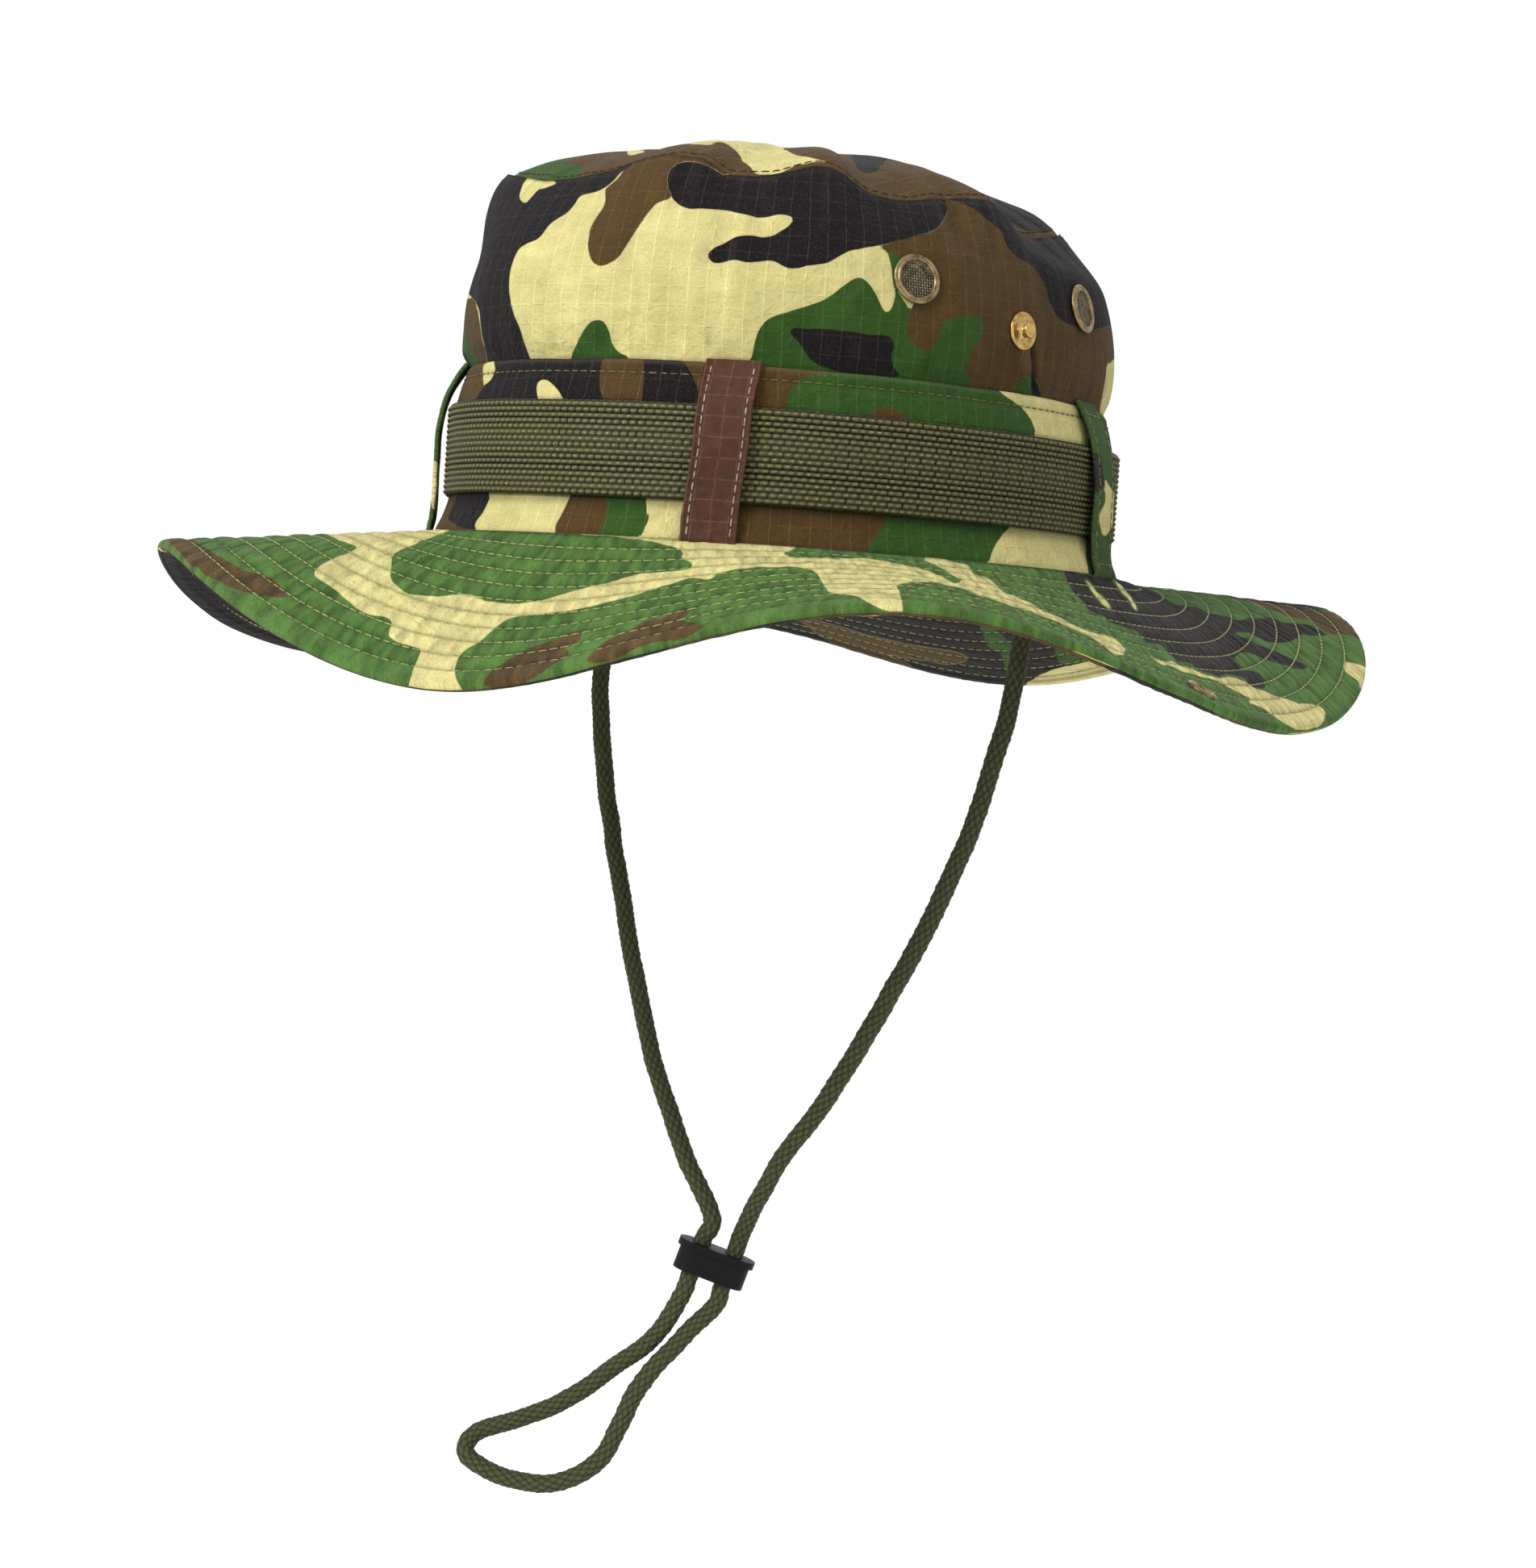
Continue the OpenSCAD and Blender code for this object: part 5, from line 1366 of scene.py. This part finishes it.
# near side's underside: brown where it shows as a thin line
near_low = lower.reshape(PB.shape[:2]) & (np.abs(off_axis(TBm)) < 75)
brim_attrs["f_brown"] = np.where(near_low, np.maximum(brim_attrs["f_brown"], 2.5 - 2 * ramp(TBm, -1.25, -0.9)), brim_attrs["f_brown"])
frac = np.abs((SBm / ROW) - np.round(SBm / ROW)) * ROW
groove = np.exp(-(frac / 0.8) ** 2) * (SBm > 4) * (SBm < 74)
hq = quilt(TBm, np.clip(SBm, 0, 76.4))
# light threads mixed into the print all over, and more on the raised tops of the padded rows: a painted highlight there
brim_attrs["wear_and_highlight"] = 0.12 + 0.45 * np.clip((hq + 0.05) / 0.4, 0, 1)
# 1 on the brim's top face and hem, 0 underneath: there the camo gets its lighter green and the pucker shading, both
# painted light
brim_attrs["ribs"] = np.where(KB == 2, 0.0, 1.0) * np.ones(PB.shape[:2])
brim_attrs["shade"] = 0.34 * groove + 0.22 * np.clip(-hq / 0.5, 0, 1) + 0.6 * (1 - ramp(SBm, 0.2, 2.4)) + 0.5 * ((KB == 2) & (SBm > 72) & (SBm < 74.2))
cl = np.stack([arc(TBm) * (1 + SBm / 230.0), np.where(KB == 2, -SBm, SBm)], -1)
WB = fold_weight(PB)


def sector(lo, hi):
    """Column indices of the brim's lattice from azimuth parameter lo to hi (degrees), ends included."""
    a = int(round((lo + 180) / 360 * NB)); b_ = int(round((hi + 180) / 360 * NB))
    return np.arange(a, b_ + 1) % NB


SECTORS = {"left": (-70, 70), "back": (70, 110), "right": (110, 250), "front": (-110, -70)}
REPLACED = {"left": "left", "right": "right", "front": "center", "back": "center"}
row_q = {}
for name, (lo, hi) in SECTORS.items():
    ii = sector(lo, hi)
    v = PB[ii]
    ob = make("brim_" + name, v.reshape(-1, 3), grid_faces(len(ii), NP_, flip=flip_faces), camo,
              {k: np.asarray(a)[ii] for k, a in brim_attrs.items()}, cl[ii].reshape(-1, 2), normals=NBm[ii].reshape(-1, 3))
    # rows of stitches on both faces
    rws, ws = [], []
    for srow in ROWS:
        for low in (False, True):
            tq = np.radians(np.arange(lo, hi + 0.01, 0.35))
            sq = np.full(len(tq), srow)
            nq = brim_normal(tq, sq)
            q_ = quilt(tq, sq)
            rp = ripple(tq, sq) * 0.8
            if low:
                p_ = brim_point(tq, sq) + nq * (rp - 0.7 * q_ - 2.72 - 0.08)[:, None]
                rws.append(stitch_row(p_, -nq, 3.15, 0.55, 0.55, 0.5, closed=False))
            else:
                p_ = brim_point(tq, sq) + nq * (q_ + rp + 0.10)[:, None]
                rws.append(stitch_row(p_, nq, 3.15, 0.3, 0.56, 0.5, closed=False))
    st = stitches("brim_%s_stitching" % name, rws, brim_thread)
    for o in (ob, st):
        if name in ("left", "right"):
            sx = 1 if name == "left" else -1
            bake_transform(o, "hat", "brim_side_" + name, start=(sx * 0.0957, 0, -0.001), end=(sx * 0.1025, 0, -0.004))
            co = np.zeros(len(o.data.vertices) * 3)
            o.data.vertices.foreach_get("co", co)
            set_blend(o, fold_weight(co.reshape(-1, 3) * 1000))
        else:
            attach(o, "hat")
    cad = REPLACED[name]
    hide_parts("brim_top_" + cad, "brim_stiffener_" + cad, "brim_under_" + cad)

# ------------------------------------------------------------------ fittings
def lathe(profile, seg=56):
    """Surface of revolution about +Z from [(radius, z)], closed as a loop if it doesn't touch the axis."""
    pr = np.array(profile, float)
    a = np.linspace(0, 2 * pi, seg, endpoint=False)
    V_ = np.stack([pr[None, :, 0] * np.cos(a)[:, None], pr[None, :, 0] * np.sin(a)[:, None], np.broadcast_to(pr[:, 1], (seg, len(pr)))], -1)
    return V_.reshape(-1, 3), seg, len(pr)


def wall_frame(t_deg, z):
    t = rad(t_deg)
    p = np.array([*oval(float(np.interp(z, WALL[:, 0], WALL[:, 1])), t), z])
    lean = math.atan((np.interp(z - 2, WALL[:, 0], WALL[:, 1]) - np.interp(z + 2, WALL[:, 0], WALL[:, 1])) / 4)
    a = float(out_az(t))
    out_ = np.array([math.cos(a) * math.cos(lean), math.sin(a) * math.cos(lean), math.sin(lean)])
    side_ = np.array([-math.sin(a), math.cos(a), 0])
    return p, np.cross(side_, out_), side_, out_


def placed(V_, fr):
    p, a, b_, c = fr
    return p + V_[:, :1] * a + V_[:, 1:2] * b_ + V_[:, 2:] * c


ring = [(5.05, -1.9), (5.35, -1.9), (5.35, 0.35), (6.9, 0.35), (7.0, 0.55), (6.98, 0.85), (6.8, 1.08), (6.5, 1.16), (6.25, 1.08), (6.1, 1.0),
        (5.95, 1.1), (5.75, 1.34), (5.5, 1.4), (5.28, 1.3), (5.12, 1.05), (5.05, 0.7)]
Vs, Fs, k = [], [], 0
for tz in VENTS:
    V_, seg, npf = lathe(ring)
    Vs.append(placed(V_, wall_frame(*tz))); Fs.append(grid_faces(seg, npf, wrap_u=True, wrap_v=True) + k); k += len(V_)
eye = make("vent_rings", np.concatenate(Vs), np.concatenate(Fs), brass)
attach(eye, "hat"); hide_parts("vent_eyelets")

# woven screens: two families of waved wires in a disc
Vs, Fs, k = [], [], 0
PITCH = 0.78
for tz in VENTS:
    fr = wall_frame(*tz)
    for fam in (0, 1):
        for i in range(-6, 7):
            c0 = i * PITCH
            half = math.sqrt(max(5.15 ** 2 - c0 ** 2, 0))
            if half < 0.8:
                continue
            x_ = np.linspace(-half, half, max(6, int(half * 2 / PITCH * 4)))
            zz_ = 0.62 + 0.13 * np.cos(pi * x_ / PITCH + pi * i + pi * fam)
            line = np.stack([x_, 0 * x_ + c0, zz_], -1) if fam == 0 else np.stack([0 * x_ + c0, x_, zz_], -1)
            rad_ = 0.17
            ang = np.linspace(0, 2 * pi, 5, endpoint=False)
            sd = np.array([0, 1.0, 0]) if fam == 0 else np.array([1.0, 0, 0])
            V_ = line[:, None] + rad_ * (np.cos(ang)[None, :, None] * sd + np.sin(ang)[None, :, None] * np.array([0, 0, 1.0]))
            Vs.append(placed(V_.reshape(-1, 3), fr)); Fs.append(grid_faces(len(line), 5, wrap_v=True) + k); k += len(line) * 5
scr = make("vent_screens_woven", np.concatenate(Vs), np.concatenate(Fs), steel_mesh)
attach(scr, "hat"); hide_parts("vent_screens")

stud_prof = [(0.001, 0.25), (5.2, 0.25), (5.35, 0.4), (5.3, 0.62), (5.0, 0.82), (4.6, 0.9), (4.2, 0.84), (3.9, 0.7), (3.5, 0.66), (2.8, 0.72), (2.2, 0.9),
             (1.75, 1.2), (1.55, 1.6), (1.6, 1.95), (1.95, 2.2), (2.2, 2.5), (2.28, 2.85), (2.15, 3.15), (1.8, 3.4), (1.2, 3.52), (0.6, 3.56), (0.001, 3.57)]
Vs, Fs, k = [], [], 0
for tz in STUDS:
    V_, seg, npf = lathe(stud_prof)
    Vs.append(placed(V_, wall_frame(*tz))); Fs.append(grid_faces(seg, npf, wrap_u=True) + k); k += len(V_)
std = make("snap_stud_pair", np.concatenate(Vs), np.concatenate(Fs), bright_brass)
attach(std, "hat"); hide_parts("snap_studs")


def dress(node, mat, bevel=0.0):
    ob = NODES[node]
    ob.data.materials.clear()
    ob.data.materials.append(mat)
    if bevel:
        m = ob.modifiers.new("bevel", "BEVEL")
        m.width = bevel
        m.segments = 3
        m.limit_method = "ANGLE"
        m.angle_limit = rad(40)


for n_ in ("vent_washers", "snap_stud_backs", "snap_socket_left", "snap_socket_right", "snap_cap_left", "snap_cap_right"):
    dress(n_, brass)
dress("cord_slider", plastic, 0.0011)

# stitched tabs that hold the cord's ends: a folded strip of webbing with a boxed seam
for side_name, sx in (("left", 1), ("right", -1)):
    L_, H_ = 16.0, 15.0
    nu_, nv_ = 33, 34
    prof_t = []
    zt = np.linspace(0, H_, 14)
    for z_ in zt:
        prof_t.append((2.5 + 0.45 * math.sin(pi * z_ / H_), z_))
    prof_t += [(1.4, H_ + 0.35), (0, H_ + 0.5), (-1.4, H_ + 0.35)]
    for z_ in zt[::-1]:
        prof_t.append((-2.5 - 0.45 * math.sin(pi * z_ / H_), z_))
    prof_t += [(-1.4, -0.25), (0, -0.35), (1.4, -0.25)]
    prof_t = np.array(prof_t)
    yy_ = np.linspace(-L_ / 2, L_ / 2, nu_)
    J1, J2 = np.meshgrid(yy_, np.arange(len(prof_t)), indexing="ij")
    thick = 1 - 0.25 * (np.abs(J1) / (L_ / 2)) ** 6
    weave = 0.12 * np.sin(J1 * 2 * pi / 2.2) * np.sin(prof_t[J2, 1] * 2 * pi / 1.6)
    X_ = sx * 83 + prof_t[J2, 0] * thick + np.sign(prof_t[J2, 0]) * weave
    V_ = np.stack([X_, 13 + J1, -6 + prof_t[J2, 1]], -1)
    npf = len(prof_t)
    F_ = grid_faces(nu_, npf, wrap_v=True)
    Vt = V_.reshape(-1, 3)
    ends = []
    for col, rev in ((0, True), (nu_ - 1, False)):
        for a_ in range(npf // 2 - 1):
            q4 = [col * npf + a_, col * npf + a_ + 1, col * npf + npf - 2 - a_, col * npf + npf - 1 - a_]
            ends.append(q4[::-1] if rev else q4)
    F_ = np.concatenate([F_, np.array(ends)])
    tab = make("cord_tab_" + side_name, Vt, F_, webbing_mat, {"relief": 0.5 + 4 * weave, "shade": 0 * weave},
               np.stack([J1, prof_t[J2, 1]], -1).reshape(-1, 2))
    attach(tab, "hat"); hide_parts("cord_anchor_" + side_name)
    rws = []
    for face in (-1, 1):
        xf = sx * 83 + face * 3.05
        for z_ in (-3.5, 6.5):
            line = np.array([[xf, 13 + y_, z_] for y_ in np.linspace(-6, 6, 20)])
            rws.append(stitch_row(line, np.broadcast_to([face * 1.0, 0, 0], (20, 3)), 2.4, 0.6, 0.5, 0.5, closed=False))
        for y_ in (-6, 6):
            line = np.array([[xf, 13 + y_, z_] for z_ in np.linspace(-3.5, 6.5, 20)])
            rws.append(stitch_row(line, np.broadcast_to([face * 1.0, 0, 0], (20, 3)), 2.4, 0.6, 0.5, 0.5, closed=False))
    o = stitches("cord_tab_%s_stitching" % side_name, rws, thread)
    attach(o, "hat")

# ------------------------------------------------------------------ stage and light
bpy.ops.mesh.primitive_plane_add(size=60, location=(0, 0, -0.62))
floor = bpy.context.object
floor.name = "floor"
fm, nt, b = material("pale_floor")
g = G(nt)
n = g.noise(g.node("ShaderNodeTexCoord").outputs["Object"], 0.4, 2.0)
g.put(b.inputs["Base Color"], g.mix(n, (0.99, 0.99, 0.99, 1), (1.0, 1.0, 1.0, 1)))
b.inputs["Roughness"].default_value = 0.9
floor.data.materials.append(fm)
floor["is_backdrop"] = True

world = bpy.data.worlds.new("studio")
bpy.context.scene.world = world
world.use_nodes = True
wn = world.node_tree
wn.nodes.clear()
wo = wn.nodes.new("ShaderNodeOutputWorld")
bg = wn.nodes.new("ShaderNodeBackground")
bg.inputs[0].default_value = (1, 1, 1, 1)
bg.inputs[1].default_value = 1.0
wn.links.new(bg.outputs[0], wo.inputs[0])


def area_light(name, azimuth, height, dist, size, watts, target=(0, 0, 0.0)):
    """azimuth in degrees from the camera's side, positive to the picture's right."""
    a = AZ + rad(azimuth)
    d_ = bpy.data.lights.new(name, "AREA")
    d_.shape = "DISK"
    d_.size = size
    d_.energy = watts
    o = bpy.data.objects.new(name, d_)
    bpy.context.scene.collection.objects.link(o)
    p = Vector((math.sin(a) * dist, -math.cos(a) * dist, height))
    o.location = p
    o.rotation_euler = (Vector(target) - p).to_track_quat("-Z", "Y").to_euler()
    return o


area_light("key", -42, 1.0, 1.5, 0.8, 30)
area_light("fill", 30, 0.4, 1.8, 1.1, 2)
area_light("back", 175, 0.9, 1.4, 0.8, 5)

vs = bpy.context.scene.view_settings
vs.view_transform = "Standard"
vs.look = "None"

size = [[float(c) for c in corner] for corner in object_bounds()]
